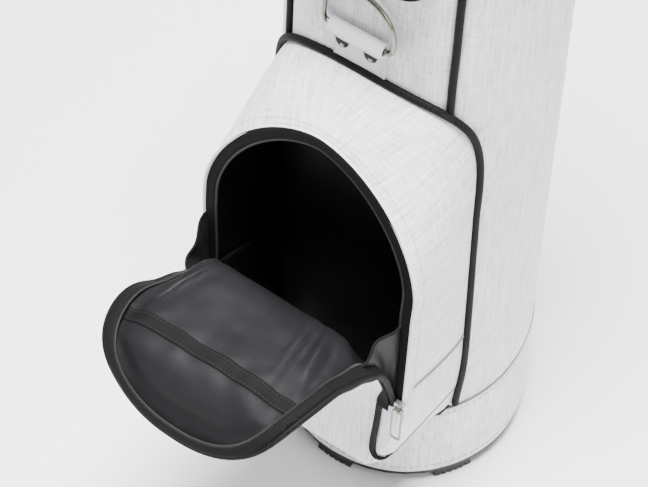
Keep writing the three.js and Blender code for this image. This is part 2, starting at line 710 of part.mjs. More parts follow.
addBase();
addBarrel();
addGusset();
addLowerPocket();
addFrontBase();
addPocketFloor();
addPocketTrim();
addDoor();
addDropStops();
addSlider();
addFrontRing();
addTop();
addCarrying();
addUpperPocket();

export default bag;
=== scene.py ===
import math

import bpy
import numpy as np
from mathutils import Matrix, Vector, noise


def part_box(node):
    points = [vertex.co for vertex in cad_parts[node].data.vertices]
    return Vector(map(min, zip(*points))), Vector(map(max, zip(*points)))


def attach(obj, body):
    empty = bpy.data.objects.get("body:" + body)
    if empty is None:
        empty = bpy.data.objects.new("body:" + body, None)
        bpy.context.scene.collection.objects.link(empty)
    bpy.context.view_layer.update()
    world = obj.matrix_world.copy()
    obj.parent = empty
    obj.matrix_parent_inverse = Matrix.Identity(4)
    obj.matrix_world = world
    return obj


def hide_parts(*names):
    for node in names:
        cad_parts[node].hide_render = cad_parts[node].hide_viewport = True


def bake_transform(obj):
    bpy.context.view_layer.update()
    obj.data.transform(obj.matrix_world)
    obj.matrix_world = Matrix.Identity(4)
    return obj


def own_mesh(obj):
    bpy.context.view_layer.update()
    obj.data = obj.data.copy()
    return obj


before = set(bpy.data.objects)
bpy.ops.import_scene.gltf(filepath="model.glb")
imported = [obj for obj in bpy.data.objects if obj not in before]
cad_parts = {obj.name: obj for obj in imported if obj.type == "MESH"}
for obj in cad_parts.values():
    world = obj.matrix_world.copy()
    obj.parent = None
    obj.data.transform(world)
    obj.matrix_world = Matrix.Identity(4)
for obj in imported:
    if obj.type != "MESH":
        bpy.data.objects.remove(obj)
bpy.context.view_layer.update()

# Lengths are in millimetres until a mesh is made. +Z is up and the pocket faces -Y.
MM = 0.001
FORWARD = (0.0, -1.0, 0.0)
SIDES = ((-1, "left"), (1, "right"))

# ---- camera, light and floor --------------------------------------------------------------

CAMERA_AT = (570, -994, 1698)
CAMERA_RIGHT = (0.8100, 0.5857, 0.0286)
CAMERA_UP = (-0.4800, 0.6342, 0.6061)
FOCAL_PIXELS = 2204
IMAGE_WIDTH = 648
SENSOR = 36
LIGHTS_AIM = (0, 0, 0.35)
WORLD_STRENGTH = 0.42


def add_camera():
    data = bpy.data.cameras.new("camera")
    data.sensor_fit = "HORIZONTAL"
    data.sensor_width = SENSOR
    data.lens = FOCAL_PIXELS / IMAGE_WIDTH * SENSOR
    data.clip_start = 0.01
    data.clip_end = 50
    camera = bpy.data.objects.new("camera", data)
    bpy.context.scene.collection.objects.link(camera)
    right = Vector(CAMERA_RIGHT).normalized()
    up = Vector(CAMERA_UP)
    back = right.cross(up).normalized()
    up = back.cross(right)
    turn = Matrix((right, up, back)).transposed().to_4x4()
    camera.matrix_world = Matrix.Translation(Vector(CAMERA_AT) * MM) @ turn
    bpy.context.scene.camera = camera


def add_light(name, at, size, power):
    data = bpy.data.lights.new(name, "AREA")
    data.shape = "DISK"
    data.size = size
    data.energy = power
    lamp = bpy.data.objects.new(name, data)
    bpy.context.scene.collection.objects.link(lamp)
    lamp.location = at
    aim = Vector(LIGHTS_AIM) - Vector(at)
    lamp.rotation_euler = aim.to_track_quat("-Z", "Y").to_euler()


def add_world():
    world = bpy.data.worlds.new("world")
    bpy.context.scene.world = world
    world.use_nodes = True
    background = world.node_tree.nodes["Background"]
    background.inputs["Color"].default_value = (1, 1, 1, 1)
    background.inputs["Strength"].default_value = WORLD_STRENGTH


# ---- materials ----------------------------------------------------------------------------


class Look:
    """A principled material whose detail comes from textures in the object's own space."""

    def __init__(self, name, color, rough, metal=0.0, sheen=0.0):
        self.material = bpy.data.materials.new(name)
        self.material.use_nodes = True
        self.tree = self.material.node_tree
        self.shader = self.tree.nodes["Principled BSDF"]
        self.set("Base Color", (*color, 1))
        self.set("Roughness", rough)
        self.set("Metallic", metal)
        self.set("Sheen Weight", sheen)
        self.place = self.tree.nodes.new("ShaderNodeTexCoord").outputs["Object"]
        self.height = None

    def along(self):
        """Follow the piece's own cloth directions, in metres, in place of the object's space."""
        self.place = self.tree.nodes.new("ShaderNodeTexCoord").outputs["UV"]

    def set(self, socket, value):
        self.shader.inputs[socket].default_value = value

    def link(self, source, target):
        self.tree.links.new(source, target)

    def stretched(self, stretch, turn=(0, 0, 0)):
        mapping = self.tree.nodes.new("ShaderNodeMapping")
        mapping.inputs["Scale"].default_value = stretch
        mapping.inputs["Rotation"].default_value = turn
        self.link(self.place, mapping.inputs["Vector"])
        return mapping.outputs["Vector"]

    def noise(self, scale, stretch=(1, 1, 1), detail=3.0, turn=(0, 0, 0)):
        node = self.tree.nodes.new("ShaderNodeTexNoise")
        node.inputs["Scale"].default_value = scale
        node.inputs["Detail"].default_value = detail
        self.link(self.stretched(stretch, turn), node.inputs["Vector"])
        return node.outputs["Fac"]

    def ribs(self, scale, turn, distortion):
        node = self.tree.nodes.new("ShaderNodeTexWave")
        node.inputs["Scale"].default_value = scale
        node.inputs["Distortion"].default_value = distortion
        self.link(self.stretched((1, 1, 1), turn), node.inputs["Vector"])
        return node.outputs["Fac"]

    def math(self, kind, a, b):
        node = self.tree.nodes.new("ShaderNodeMath")
        node.operation = kind
        for socket, value in zip(node.inputs, (a, b)):
            if isinstance(value, (int, float)):
                socket.default_value = value
            else:
                self.link(value, socket)
        return node.outputs[0]

    def paint(self, value, stops):
        node = self.tree.nodes.new("ShaderNodeValToRGB")
        while len(node.color_ramp.elements) < len(stops):
            node.color_ramp.elements.new(0.5)
        for element, (position, color) in zip(node.color_ramp.elements, stops):
            element.position = position
            element.color = (*color, 1)
        self.link(value, node.inputs["Fac"])
        self.link(node.outputs["Color"], self.shader.inputs["Base Color"])

    def mix(self, *parts):
        """The sum of (value, weight) pairs."""
        total = None
        for value, weight in parts:
            part = self.math("MULTIPLY", value, weight)
            total = part if total is None else self.math("ADD", total, part)
        return total

    def tint(self, value, color, *stops):
        """Shades of one colour, from (position, multiple) pairs."""
        self.paint(value, [(at, tuple(min(c * times, 1) for c in color)) for at, times in stops])

    def rough(self, value, low, high):
        node = self.tree.nodes.new("ShaderNodeMapRange")
        node.inputs["To Min"].default_value = low
        node.inputs["To Max"].default_value = high
        self.link(value, node.inputs["Value"])
        self.link(node.outputs["Result"], self.shader.inputs["Roughness"])

    def bump(self, value, depth, strength=1.0):
        node = self.tree.nodes.new("ShaderNodeBump")
        node.inputs["Strength"].default_value = strength
        node.inputs["Distance"].default_value = depth * MM
        self.link(value, node.inputs["Height"])
        if self.height is not None:
            self.link(self.height, node.inputs["Normal"])
        self.height = node.outputs["Normal"]
        self.link(self.height, self.shader.inputs["Normal"])


def linen(name, dark, light):
    """Slub-woven cloth: long uneven threads up and across."""
    look = Look(name, light, 0.85, sheen=0.15)
    look.along()
    up = look.noise(900, (1, 0.05, 1), 4)
    across = look.noise(900, (0.06, 1, 1), 4)
    streak = look.noise(330, (1, 0.03, 1), 3)
    cloud = look.noise(14, detail=2)
    weave = look.mix((up, 0.4), (across, 0.3), (streak, 0.2))
    tone = look.math("ADD", weave, look.math("MULTIPLY", cloud, 0.1))
    middle = tuple((a + b) / 2 for a, b in zip(dark, light))
    look.paint(tone, [(0.4, dark), (0.5, middle), (0.62, light)])
    look.rough(weave, 0.75, 0.95)
    look.bump(weave, 0.25, 0.6)
    return look.material


def nylon(name, color, rough=0.42, cloudy=60, depth=0.5):
    """Thin plain-woven lining with a satin sheen and fine creases."""
    look = Look(name, color, rough)
    look.set("Specular IOR Level", 0.12)
    crease = look.noise(cloudy, (1, 0.6, 1), 4)
    thread = look.noise(1500, (1, 0.2, 0.2), 2)
    look.tint(look.noise(22, detail=3), color, (0.3, 0.78), (0.7, 1.3))
    look.rough(thread, rough - 0.06, rough + 0.12)
    look.bump(crease, depth, 0.5)
    look.bump(thread, 0.06, 0.4)
    return look.material


def ribbed(name, color, rough, rib=1900, depth=0.18, turn=(0, 0.6, 0.7)):
    """Close black weave, such as binding, tape and webbing."""
    look = Look(name, color, rough)
    look.set("Specular IOR Level", 0.07)
    rows = look.ribs(rib / math.tau, turn, 0.6)
    fuzz = look.noise(1300, detail=3)
    both = look.mix((rows, 0.6), (fuzz, 0.4))
    look.tint(both, color, (0.25, 0.6), (0.8, 1.5))
    look.rough(fuzz, rough - 0.1, rough + 0.1)
    look.bump(both, depth, 0.7)
    return look.material


def moulded(name, color, rough):
    """Fine-grained moulded plastic with faint scuffs."""
    look = Look(name, color, rough)
    look.set("Specular IOR Level", 0.3)
    grain = look.noise(1800, detail=2)
    scuff = look.noise(70, (1, 1, 0.3), 5)
    look.tint(scuff, color, (0.35, 0.85), (0.75, 1.2))
    look.rough(scuff, rough - 0.08, rough + 0.12)
    look.bump(grain, 0.08, 0.5)
    return look.material


def coated(name, color, rough=0.45):
    """Leather-like coated sheet with a fine pebble."""
    look = Look(name, color, rough)
    pebble = look.noise(1100, detail=3)
    look.tint(look.noise(40, detail=3), color, (0.3, 0.93), (0.7, 1.04))
    look.rough(pebble, rough - 0.06, rough + 0.1)
    look.bump(pebble, 0.12, 0.5)
    return look.material


def plated(name, color, rough):
    """Polished plate with faint handling marks."""
    look = Look(name, color, rough, metal=1.0)
    marks = look.noise(260, (1, 1, 0.2), 4)
    look.tint(marks, color, (0.3, 0.8), (0.7, 1))
    look.rough(marks, rough, rough + 0.16)
    look.bump(marks, 0.03, 0.3)
    return look.material


def floor_material():
    look = Look("studio_floor", (0.9, 0.9, 0.9), 0.9)
    look.paint(look.noise(3, detail=2), [(0.3, (0.9, 0.9, 0.9)), (0.7, (0.92, 0.92, 0.92))])
    return look.material


SHELL = linen("shell_fabric", (0.45, 0.46, 0.48), (0.90, 0.91, 0.93))
THREAD = coated("pale_thread", (0.44, 0.45, 0.47), 0.8)
# The seam_shadow look is a dark grey for thin cords that are painted shadow in gaps and cloth
# overlaps at seams and hems.
SEAM_SHADOW = coated("seam_shadow", (0.16, 0.165, 0.17), 0.9)
# The dark_thread_and_shade look serves real black stitches, and also the dark sheets of painted
# shade in the tab's cut-outs.
DARK_THREAD_AND_SHADE = coated("dark_thread_and_shade", (0.008, 0.008, 0.008), 0.8)
PIPING = ribbed("black_binding", (0.007, 0.007, 0.007), 0.65)
TAPE = ribbed("zipper_tape", (0.006, 0.006, 0.006), 0.8, 2600, 0.25, (0, 0.9, 0.4))
TEETH = moulded("zipper_coil", (0.016, 0.016, 0.015), 0.55)
LINING = nylon("satin_lining", (0.0075, 0.0075, 0.0085), 0.6, 60, 0.35)
WEB = nylon("web_lining", (0.010, 0.010, 0.011), 0.5)
RIBBON = ribbed("black_ribbon", (0.006, 0.006, 0.0065), 0.7, 3000, 0.2, (0, 0, 0.9))
WEBBING = ribbed("webbing", (0.018, 0.018, 0.02), 0.6, 1500, 0.35, (0, 1.2, 0.5))
PLASTIC = moulded("satin_plastic", (0.012, 0.0135, 0.0135), 0.5)
BOARD = moulded("black_board", (0.012, 0.013, 0.015), 0.6)
COATED = coated("pale_coated_sheet", (0.66, 0.67, 0.69))
NICKEL = plated("dark_nickel", (0.50, 0.48, 0.45), 0.2)
GUNMETAL = plated("gunmetal", (0.26, 0.24, 0.21), 0.2)

# ---- mesh helpers -------------------------------------------------------------------------


def unit(v):
    return v / np.maximum(np.linalg.norm(v, axis=-1, keepdims=True), 1e-9)


def smoothstep(x, low, high):
    t = np.clip((x - low) / (high - low), 0, 1)
    return t * t * (3 - 2 * t)


def eased(count):
    """Numbers from -1 to 1 that lie closer together near the ends."""
    return np.sin(np.linspace(-np.pi / 2, np.pi / 2, count))


def hill(x, width):
    return np.exp(-(x / width)**2)


def wobble(points, size, seed=0.0):
    """Smooth noise from -1 to 1 with bumps of about the given size."""
    flat = np.asarray(points, float).reshape(-1, 3) / size
    values = [noise.noise(Vector((x + seed, y - seed, z + 2 * seed))) for x, y, z in flat]
    return np.array(values).reshape(np.shape(points)[:-1])


def make(name, points, faces, looks, which=None, body="bag", slot="fabric", flat=None, spread=None):
    """A mesh piece from points in millimetres. which gives each face's look by number."""
    mesh = bpy.data.meshes.new(name)
    mesh.from_pydata((np.asarray(points) * MM).tolist(), [], [list(f) for f in faces])
    for look in looks:
        mesh.materials.append(look)
    if which is not None:
        mesh.polygons.foreach_set("material_index", np.asarray(which, np.int32))
    smooth = np.array([len(f) < 5 for f in faces])
    if flat is not None:
        smooth &= ~np.asarray(flat, bool)
    mesh.polygons.foreach_set("use_smooth", smooth)
    if spread is not None:
        layer = mesh.uv_layers.new(name="cloth")
        corner = np.empty(len(mesh.loops), np.int32)
        mesh.loops.foreach_get("vertex_index", corner)
        layer.data.foreach_set("uv", (np.asarray(spread) * MM)[corner].ravel())
    mesh.update()
    piece = bpy.data.objects.new(name, mesh)
    bpy.context.scene.collection.objects.link(piece)
    if body:
        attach(piece, body)
    return piece


def grid_normals(grid, closed=False):
    if closed:
        across = np.roll(grid, -1, 1) - np.roll(grid, 1, 1)
    else:
        across = np.gradient(grid, axis=1)
    return unit(np.cross(across, np.gradient(grid, axis=0)))


def shell_mesh(outer, inner, closed=False):
    """Points and faces between two layers. Columns run right seen from outside, rows up."""
    rows, columns = outer.shape[:2]
    count = rows * columns
    wide = columns if closed else columns - 1

    def at(j, i):
        return j * columns + i % columns

    faces, border = [], []
    for j in range(rows - 1):
        for i in range(wide):
            quad = (at(j, i), at(j, i + 1), at(j + 1, i + 1), at(j + 1, i))
            faces += [quad, tuple(count + v for v in reversed(quad))]
    for i in range(wide):
        border += [(at(0, i + 1), at(0, i)), (at(rows - 1, i), at(rows - 1, i + 1))]
    if not closed:
        for j in range(rows - 1):
            border += [(at(j, 0), at(j + 1, 0)), (at(j + 1, columns - 1), at(j, columns - 1))]
    which = [0, 1] * (len(faces) // 2) + [1] * len(border)
    flat = [False] * len(faces) + [True] * len(border)
    faces += [(a, b, count + b, count + a) for a, b in border]
    return np.concatenate([outer.reshape(-1, 3), inner.reshape(-1, 3)]), faces, which, flat


def thicken(grid, thickness, closed=False):
    return shell_mesh(grid, grid - grid_normals(grid, closed) * thickness, closed)


def run_lengths(path):
    """Distance along a path at each of its points."""
    return np.concatenate([[0], np.cumsum(np.linalg.norm(np.diff(path, axis=0), axis=1))])


def lay_out(grid):
    """Distances along a sheet's middle row and middle column, for both of its sides."""
    rows, columns = grid.shape[:2]
    u, v = np.meshgrid(run_lengths(grid[rows // 2]), run_lengths(grid[:, columns // 2]))
    one = np.stack([u, v], -1).reshape(-1, 2)
    return np.concatenate([one, one])


def shell(name, grid, thickness, looks, closed=False, **facts):
    grid = np.asarray(grid, float)
    points, faces, which, flat = thicken(grid, thickness, closed)
    return make(name, points, faces, looks, which if len(looks) > 1 else None, flat=flat,
                spread=lay_out(grid), **facts)


def spline(points, count):
    """Evenly spaced points on a smooth curve through the given ones."""
    p = np.asarray(points, float)
    p = np.concatenate([2 * p[:1] - p[1:2], p, 2 * p[-1:] - p[-2:-1]])
    fine = []
    for a, b, c, d in zip(p, p[1:], p[2:], p[3:]):
        for t in np.linspace(0, 1, 12, endpoint=False):
            fine.append(0.5 * (2 * b + (c - a) * t + (2 * a - 5 * b + 4 * c - d) * t**2
                               + (3 * b - a - 3 * c + d) * t**3))
    # The curve ends by turning back to the last knot but one.
    return even(np.array(fine + [p[-3]]), count)


def even(path, count, closed=False):
    """Evenly spaced points along a path, or all round it."""
    if closed:
        path = np.concatenate([path, path[:1]])
    along = run_lengths(path)
    wanted = np.linspace(0, along[-1], count, endpoint=not closed)
    return np.stack([np.interp(wanted, along, path[:, k]) for k in range(3)], 1)


def tangents(path, closed=False):
    if closed:
        return unit(np.roll(path, -1, 0) - np.roll(path, 1, 0))
    return unit(np.gradient(path, axis=0))


def ring_faces(rows, sides, closed=False):
    """Faces between rings of points, and over both ends unless the rings close."""
    faces = []
    for j in range(rows if closed else rows - 1):
        k = (j + 1) % rows
        for i in range(sides):
            m = (i + 1) % sides
            faces.append((j * sides + i, j * sides + m, k * sides + m, k * sides + i))
    if not closed:
        faces.append(tuple(range(sides))[::-1])
        faces.append(tuple((rows - 1) * sides + i for i in range(sides)))
    return faces


def tube_mesh(path, radius, sides=12, closed=False, side=None, capped=True):
    """A swept cord with rounded ends. side fixes the direction of its first axis."""
    path = np.asarray(path, float)
    t = tangents(path, closed)
    size = np.full(len(path), float(radius))
    if side is None:
        s = np.empty_like(path)
        last = unit(np.cross(t[0], (0.31, 0.83, 0.47)))
        for k in range(len(path)):
            last = unit(last - t[k] * (last @ t[k]))
            s[k] = last
    else:
        s = np.broadcast_to(np.asarray(side, float), path.shape)
        s = unit(s - t * np.sum(s * t, 1, keepdims=True))
    u = np.cross(t, s)
    if capped and not closed:
        reach = np.array([1.0, 0.8, 0.5, 0.2])
        s, u = (np.pad(v, ((4, 4), (0, 0)), "edge") for v in (s, u))
        path = np.concatenate([path[0] - t[0] * (reach * radius)[:, None], path,
                               path[-1] + t[-1] * (reach[::-1] * radius)[:, None]])
        shrunk = radius * np.maximum(np.sqrt(1 - reach**2), 0.02)
        size = np.concatenate([shrunk, size, shrunk[::-1]])
    a = np.arange(sides)[None, :, None] * math.tau / sides
    size = size[:, None, None]
    ring = s[:, None] * np.cos(a) * size + u[:, None] * np.sin(a) * size
    return (path[:, None] + ring).reshape(-1, 3), ring_faces(len(path), sides, closed)


def tube(name, path, radius, sides, look, closed=False, side=None, **facts):
    return make(name, *tube_mesh(path, radius, sides, closed, side), [look], **facts)


def together(*meshes):
    """Several point and face lists as one."""
    points, faces, start = [], [], 0
    for mesh in meshes:
        points.append(np.asarray(mesh[0]).reshape(-1, 3))
        faces += [tuple(v + start for v in f) for f in mesh[1]]
        start += len(points[-1])
    return np.concatenate(points), faces


def scatter(path, normals, pitch, size, across=False):
    """Small rounded bars every pitch along a path: stitches along it, or zipper teeth across."""
    path = np.asarray(path, float)
    normals = np.broadcast_to(normals, path.shape)
    length = np.linalg.norm(np.diff(path, axis=0), axis=1).sum()
    count = max(int(length / pitch), 2)
    spots = even(path, count)
    old, new = np.linspace(0, 1, len(path)), np.linspace(0, 1, count)
    n = unit(np.stack([np.interp(new, old, normals[:, k]) for k in range(3)], 1))
    t = tangents(spots)
    if across:
        t = np.cross(n, t)
    b = unit(np.cross(n, t))
    sides = 6
    a = np.arange(sides) * math.tau / sides
    rings = [(-0.5, 0.35), (-0.3, 0.9), (0.0, 1.0), (0.3, 0.9), (0.5, 0.35)]
    bar = np.array([(x * size[0], size[1] / 2 * r * math.cos(q), size[2] * r * math.sin(q))
                    for x, r in rings for q in a])
    points = (spots[:, None] + bar[None, :, :1] * t[:, None]
              + bar[None, :, 1:2] * b[:, None] + bar[None, :, 2:] * n[:, None])
    base = ring_faces(len(rings), sides)
    faces = [tuple(v + k * len(bar) for v in f) for k in range(count) for f in base]
    return points.reshape(-1, 3), faces


def stitched(name, path, normals, look=THREAD, pitch=4.4, size=(3.2, 0.9, 0.55), **facts):
    return make(name, *scatter(path, normals, pitch, size), [look], **facts)


# ---- shape of the barrel ------------------------------------------------------------------

BASE_RADIUS = 110
TAPER = 0.0241
TAPER_END = 600
FRONT_DEPTH = 103
FRONT_SQUARE = 3.5
SQUARE_RANGE = (110, 230)
SEAM_ANGLE = 37.2
COLLAR_TOP = 110
COLLAR_RISE = 32
RIM_TOP = 17
CUFF_BOTTOM = 792
CUFF_TOP = 865.5


def barrel_radius(angle, z):
    angle, z = np.broadcast_arrays(np.radians(angle), np.asarray(z, float))
    round_radius = BASE_RADIUS - TAPER * np.minimum(z, TAPER_END)
    c, s = np.cos(angle), np.abs(np.sin(angle))
    w = smoothstep(z, *SQUARE_RANGE)
    depth = round_radius + (FRONT_DEPTH - round_radius) * w
    n = 2 + (FRONT_SQUARE - 2) * w
    front = ((s / round_radius)**n + (np.maximum(c, 1e-6) / depth)**n)**(-1 / n)
    return np.where(c <= 1e-4, round_radius, front)


def on_barrel(angle, z, out=0.0):
    angle = np.asarray(angle, float)
    r = barrel_radius(angle, z) + out
    angle, z, r = np.broadcast_arrays(np.radians(angle), np.asarray(z, float), r)
    return np.stack([r * np.sin(angle), -r * np.cos(angle), z], -1)


def round_angles(count):
    return np.linspace(-180, 180, count, endpoint=False)


def outward(path):
    """Level directions away from the barrel's axis."""
    return unit(np.asarray(path) * (1, 1, 0))


def ripple(grid, broad, fine):
    bumps = broad * wobble(grid, 60) + fine * wobble(grid, 22, 5)
    return grid + outward(grid) * bumps[..., None]


def barrel_patch(name, angles, heights, out, node, closed=False, thickness=2.2, soft=0.5):
    """Cloth round part of the barrel. out gives how far it stands off at an angle and height."""
    a, z = np.meshgrid(angles, heights)
    grid = ripple(on_barrel(a, z, out(a, z)), soft, 0.4 * soft)
    piece = shell(name, grid, thickness, [SHELL], closed)
    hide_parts(node)


def collar_top(angle):
    """The collar rises from the pocket toward the back of the bag."""
    return COLLAR_TOP + COLLAR_RISE * smoothstep(np.abs(angle), 40, 150)


def add_barrel():
    def puffed(low, high):
        def out(a, z):
            near = np.minimum(a - low, high - a) * 1.75
            ends = np.minimum(z - COLLAR_TOP, CUFF_BOTTOM - z)
            return 1.6 - 2.4 * hill(near, 5) - 1.2 * hill(ends, 7)
        return out

    edge = SEAM_ANGLE - 1.0
    heights = np.linspace(COLLAR_TOP - 3, CUFF_BOTTOM + 3, 110)
    barrel_patch("front_panel_cloth", np.linspace(-edge, edge, 41), heights,
                 puffed(-edge, edge), "front_panel")
    low, high = SEAM_ANGLE + 1.0, 360 - SEAM_ANGLE - 1.0

    def rear(a, z):
        dent = np.exp(-((a - 61) / 5)**2 - ((z - 470 - 1.6 * (a - 55)) / 9)**2)
        run = (a - 47) * 0.55
        crease = hill(a - 47, 7) * (hill(z - 497 - run, 3.5) - 0.7 * hill(z - 489 - run, 4))
        return puffed(low, high)(a, z) - 1.8 * dent + 1.5 * crease

    barrel_patch("rear_panel_cloth", np.linspace(low, high, 150), heights, rear, "rear_panel")
    for side, name in SIDES:
        z = np.linspace(COLLAR_TOP + 4, CUFF_BOTTOM - 1, 120)
        line = on_barrel(side * SEAM_ANGLE, z, 0.6)
        line = line + 0.35 * wobble(line, 45, 3)[:, None] * np.array([1, 1, 0])
        piece = tube(f"long_piping_{name}", line, 2.95, 14, PIPING, slot="piping")
        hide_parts(f"panel_piping_{name}")

    def hemmed(z):
        top = np.clip((z - COLLAR_TOP + 3.5) / 3.5, 0, 1)
        bottom = hill(z - RIM_TOP, 4)
        pull = 0.7 * hill(z - 26, 1.7) + 0.7 * hill(z - 104, 1.7)
        return 2.0 - 1.1 * top**2 - 1.4 * bottom - pull

    levels = np.concatenate([np.linspace(RIM_TOP + 0.5, 34, 14), np.linspace(38, 94, 12),
                             np.linspace(97, COLLAR_TOP, 16)])
    a, z = np.meshgrid(round_angles(180), levels)
    low = RIM_TOP + 0.5
    lifted = low + (z - low) * (collar_top(a) - low) / (COLLAR_TOP - low)
    grid = ripple(on_barrel(a, lifted, hemmed(z) + 0.9), 0.35, 0.2)
    piece = shell("base_collar_cloth", grid, 3.2, [SHELL], closed=True)
    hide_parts("base_collar")
    full = np.linspace(-180, 180, 361)
    for z, name in ((26, "base"), (-6, "top")):
        ring = on_barrel(full, z if z > 0 else collar_top(full) + z, 2.3)
        stitched(f"collar_stitches_{name}", ring, outward(ring), pitch=6.2, size=(4.2, 1.0, 0.7))
    # A dark cord just above the collar's top edge is painted shadow in the gap over the raised hem.
    lip = on_barrel(full[:-1], collar_top(full[:-1]) + 0.5, 2.0)
    tube("collar_edge_shadow", lip, 0.75, 8, SEAM_SHADOW, closed=True)


def add_base():
    """The looks of the parts that show as they are in the CAD."""
    looks = {"base_moulding": PLASTIC, "barrel_tube": BOARD, "club_divider": PLASTIC,
             "mouth_ring": PLASTIC, "slider": NICKEL, "upper_slider": NICKEL,
             "tab_rivet_left": GUNMETAL, "tab_rivet_right": GUNMETAL}
    looks.update({f"foot_{k}": PLASTIC for k in range(1, 7)})
    for node, look in looks.items():
        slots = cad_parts[node].data.materials
        slots.clear()
        slots.append(look)


# ---- shape of the pocket ------------------------------------------------------------------

POCKET_BOTTOM = 118
POCKET_SEAM = 244
POCKET_FRONT = 163.5
OPENING = {"half": 99.5, "base": 375, "height": 117.6, "power": 1.72}
DOOR = {"half": 89, "base": 399, "height": 104, "power": 2.3}
POCKET_BASE_HALF = 77
BEND = 13
CORNER = 11
TUCK = 154
FRONT_HALF = 74.5
FOLD_HEIGHT = 247
RIDGE_HEIGHT = 357
LEAN = math.radians(4)
TAPE_WIDTH = 12.4
SEAM_TOP = 522
SEAM_CORNER = (140, 125)
SEAM_SIDE = (46.5, 51)
SEAM_SQUARE = (0.6, 0.56)


def arch_edge(shape, inset, start, count=60, legs=14):
    """Points (x, height) up the right leg of an outline, over its arch and down the left."""
    half, base, height, power = (shape[k] for k in ("half", "base", "height", "power"))
    q = np.linspace(0, math.pi, count)
    c, s = np.cos(q), np.sin(q)
    x = half * np.sign(c) * np.abs(c)**(2 / power)
    z = height * np.abs(s)**(2 / power)
    slope = unit(np.stack([np.sign(x) * np.abs(x / half)**(power - 1) / half,
                           (z / height)**(power - 1) / height], -1))
    arch = np.stack([x, base + z], -1) - inset * slope
    rise = np.linspace(start, base, legs, endpoint=False)
    right = np.stack([np.full(legs, half - inset), rise], -1)
    left = right[::-1] * (-1, 1)
    return np.concatenate([right, arch, left])


def front_plane(z):
    return -POCKET_FRONT + np.maximum(z - RIDGE_HEIGHT, 0) * math.tan(LEAN)


def opening_path(inset, start, back=0.0):
    e = arch_edge(OPENING, inset, start)
    return np.stack([e[:, 0], front_plane(e[:, 1]) + back, e[:, 1]], -1)


def seam_angle(z, side):
    """Angle of the pocket's seam on the left or right of the barrel."""
    turn = np.where(side > 0, SEAM_TOP - SEAM_CORNER[1], SEAM_TOP - SEAM_CORNER[0])
    upper = np.clip((turn - z) / (turn - POCKET_SEAM), 0, 1)
    lower = np.clip((POCKET_SEAM - z) / (POCKET_SEAM - POCKET_BOTTOM), 0, 1)
    return np.where(side > 0, SEAM_SIDE[1], SEAM_SIDE[0]) + 2.3 * upper + 2.0 * lower


def seam_path(t, out, start=POCKET_SEAM):
    """Where the pocket meets the barrel: t runs from 0 low on the right, over the top, to 1."""
    t = np.asarray(t, float)
    u = np.abs(2 * t - 1)
    side = np.sign(0.5 - t)
    tall, wide, square = (np.where(side > 0, pair[1], pair[0])
                          for pair in (SEAM_CORNER, SEAM_SIDE, SEAM_SQUARE))
    turn = SEAM_TOP - tall
    corner = 0.52
    q = np.pi / 2 * np.minimum(u / corner, 1)
    angle_top = wide * np.abs(np.sin(q))**square
    z_top = turn + tall * np.maximum(np.cos(q), 0)**square
    z_side = turn + (start - turn) * np.clip((u - corner) / (1 - corner), 0, 1)
    z = np.where(u > corner, z_side, z_top)
    angle = np.where(u > corner, seam_angle(z_side, side), angle_top)
    return on_barrel(side * angle, z, out)


def side_half(z):
    w = np.clip((np.maximum(z, TUCK) - POCKET_BOTTOM) / (POCKET_SEAM - POCKET_BOTTOM), 0, 1)
    half = POCKET_BASE_HALF + (OPENING["half"] - POCKET_BASE_HALF) * np.sin(w * np.pi / 2)
    return half - 0.5 * np.maximum(TUCK - z, 0)


def seam_tilt(grid, fade):
    """Raises points so the seam under the gusset climbs toward the front."""
    rise = np.interp(-grid[..., 1], [66, 152, 163], [-7, 17, 0])
    grid[..., 2] += rise * fade


def add_gusset():
    edge = opening_path(0, POCKET_SEAM)
    back = seam_path(np.linspace(0, 1, len(edge)), 1.0)
    grid = np.array([back + (edge - back) * w for w in np.linspace(0, 1, 26)])
    seam_tilt(grid, 1 - smoothstep(grid[..., 2], POCKET_SEAM + 2, POCKET_SEAM + 100))
    n = grid_normals(grid)
    v = np.linspace(0, 1, 26)[:, None]
    top = smoothstep(edge[:, 2], 300, 460)[None, :]
    bulge = np.sin(np.pi * v) * (3.0 + 2.0 * top)
    roll = -1.6 * smoothstep(v, 0.93, 1.0)
    swell = 0.9 * wobble(grid, 75, 1) + 0.35 * wobble(grid, 26, 2)
    fade = np.minimum(1, np.minimum(v, 1 - v) * 6)
    grid = grid + n * (bulge + roll + swell * fade)[..., None]
    piece = shell("pocket_gusset_cloth", grid, 2.2, [SHELL, WEB])
    # Dark cords down both sides of the gusset are painted shadow where the cloth overlaps at the
    # side seams.
    for column, name in ((0, "right"), (-1, "left")):
        low = grid[1:23, column] + n[1:23, column] * 0.5 + (0, 0, -0.3)
        tube(f"side_seam_shadow_{name}", low, 0.75, 8, SEAM_SHADOW)
    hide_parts("gusset")
    row = 22
    normal = grid_normals(grid)[row]
    path = (grid[row] + grid[row + 1]) / 2 + normal * 0.1
    stitched("opening_stitches", path, normal, pitch=3.6, size=(2.5, 0.75, 0.5))
    tube("opening_hem", grid[-1] + (0, 0.6, 0), 1.7, 10, SHELL)


def add_zipper():
    outer = opening_path(0.6, FOLD_HEIGHT - 2, 0.4)
    inner = opening_path(TAPE_WIDTH, FOLD_HEIGHT - 2, 1.6)
    grid = np.array([outer + (inner - outer) * w for w in np.linspace(0, 1, 5)])
    piece = shell("opening_tape", grid[::-1], 0.9, [TAPE], slot="tape")
    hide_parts("fixed_tape")
    coil = opening_path(TAPE_WIDTH, FOLD_HEIGHT - 2, 0.9)
    teeth = scatter(coil, FORWARD, 1.7, (2.6, 1.0, 0.75), across=True)
    core = tube_mesh(coil + (0, 0.4, 0), 0.75, 6)
    make("opening_teeth", *together(teeth, core), [TEETH], slot="tape")
    seam = opening_path(7.4, FOLD_HEIGHT - 1, 0.5)
    stitched("opening_tape_stitches", seam, FORWARD, DARK_THREAD_AND_SHADE, 3.0, (2.2, 0.6, 0.35),
             slot="tape")


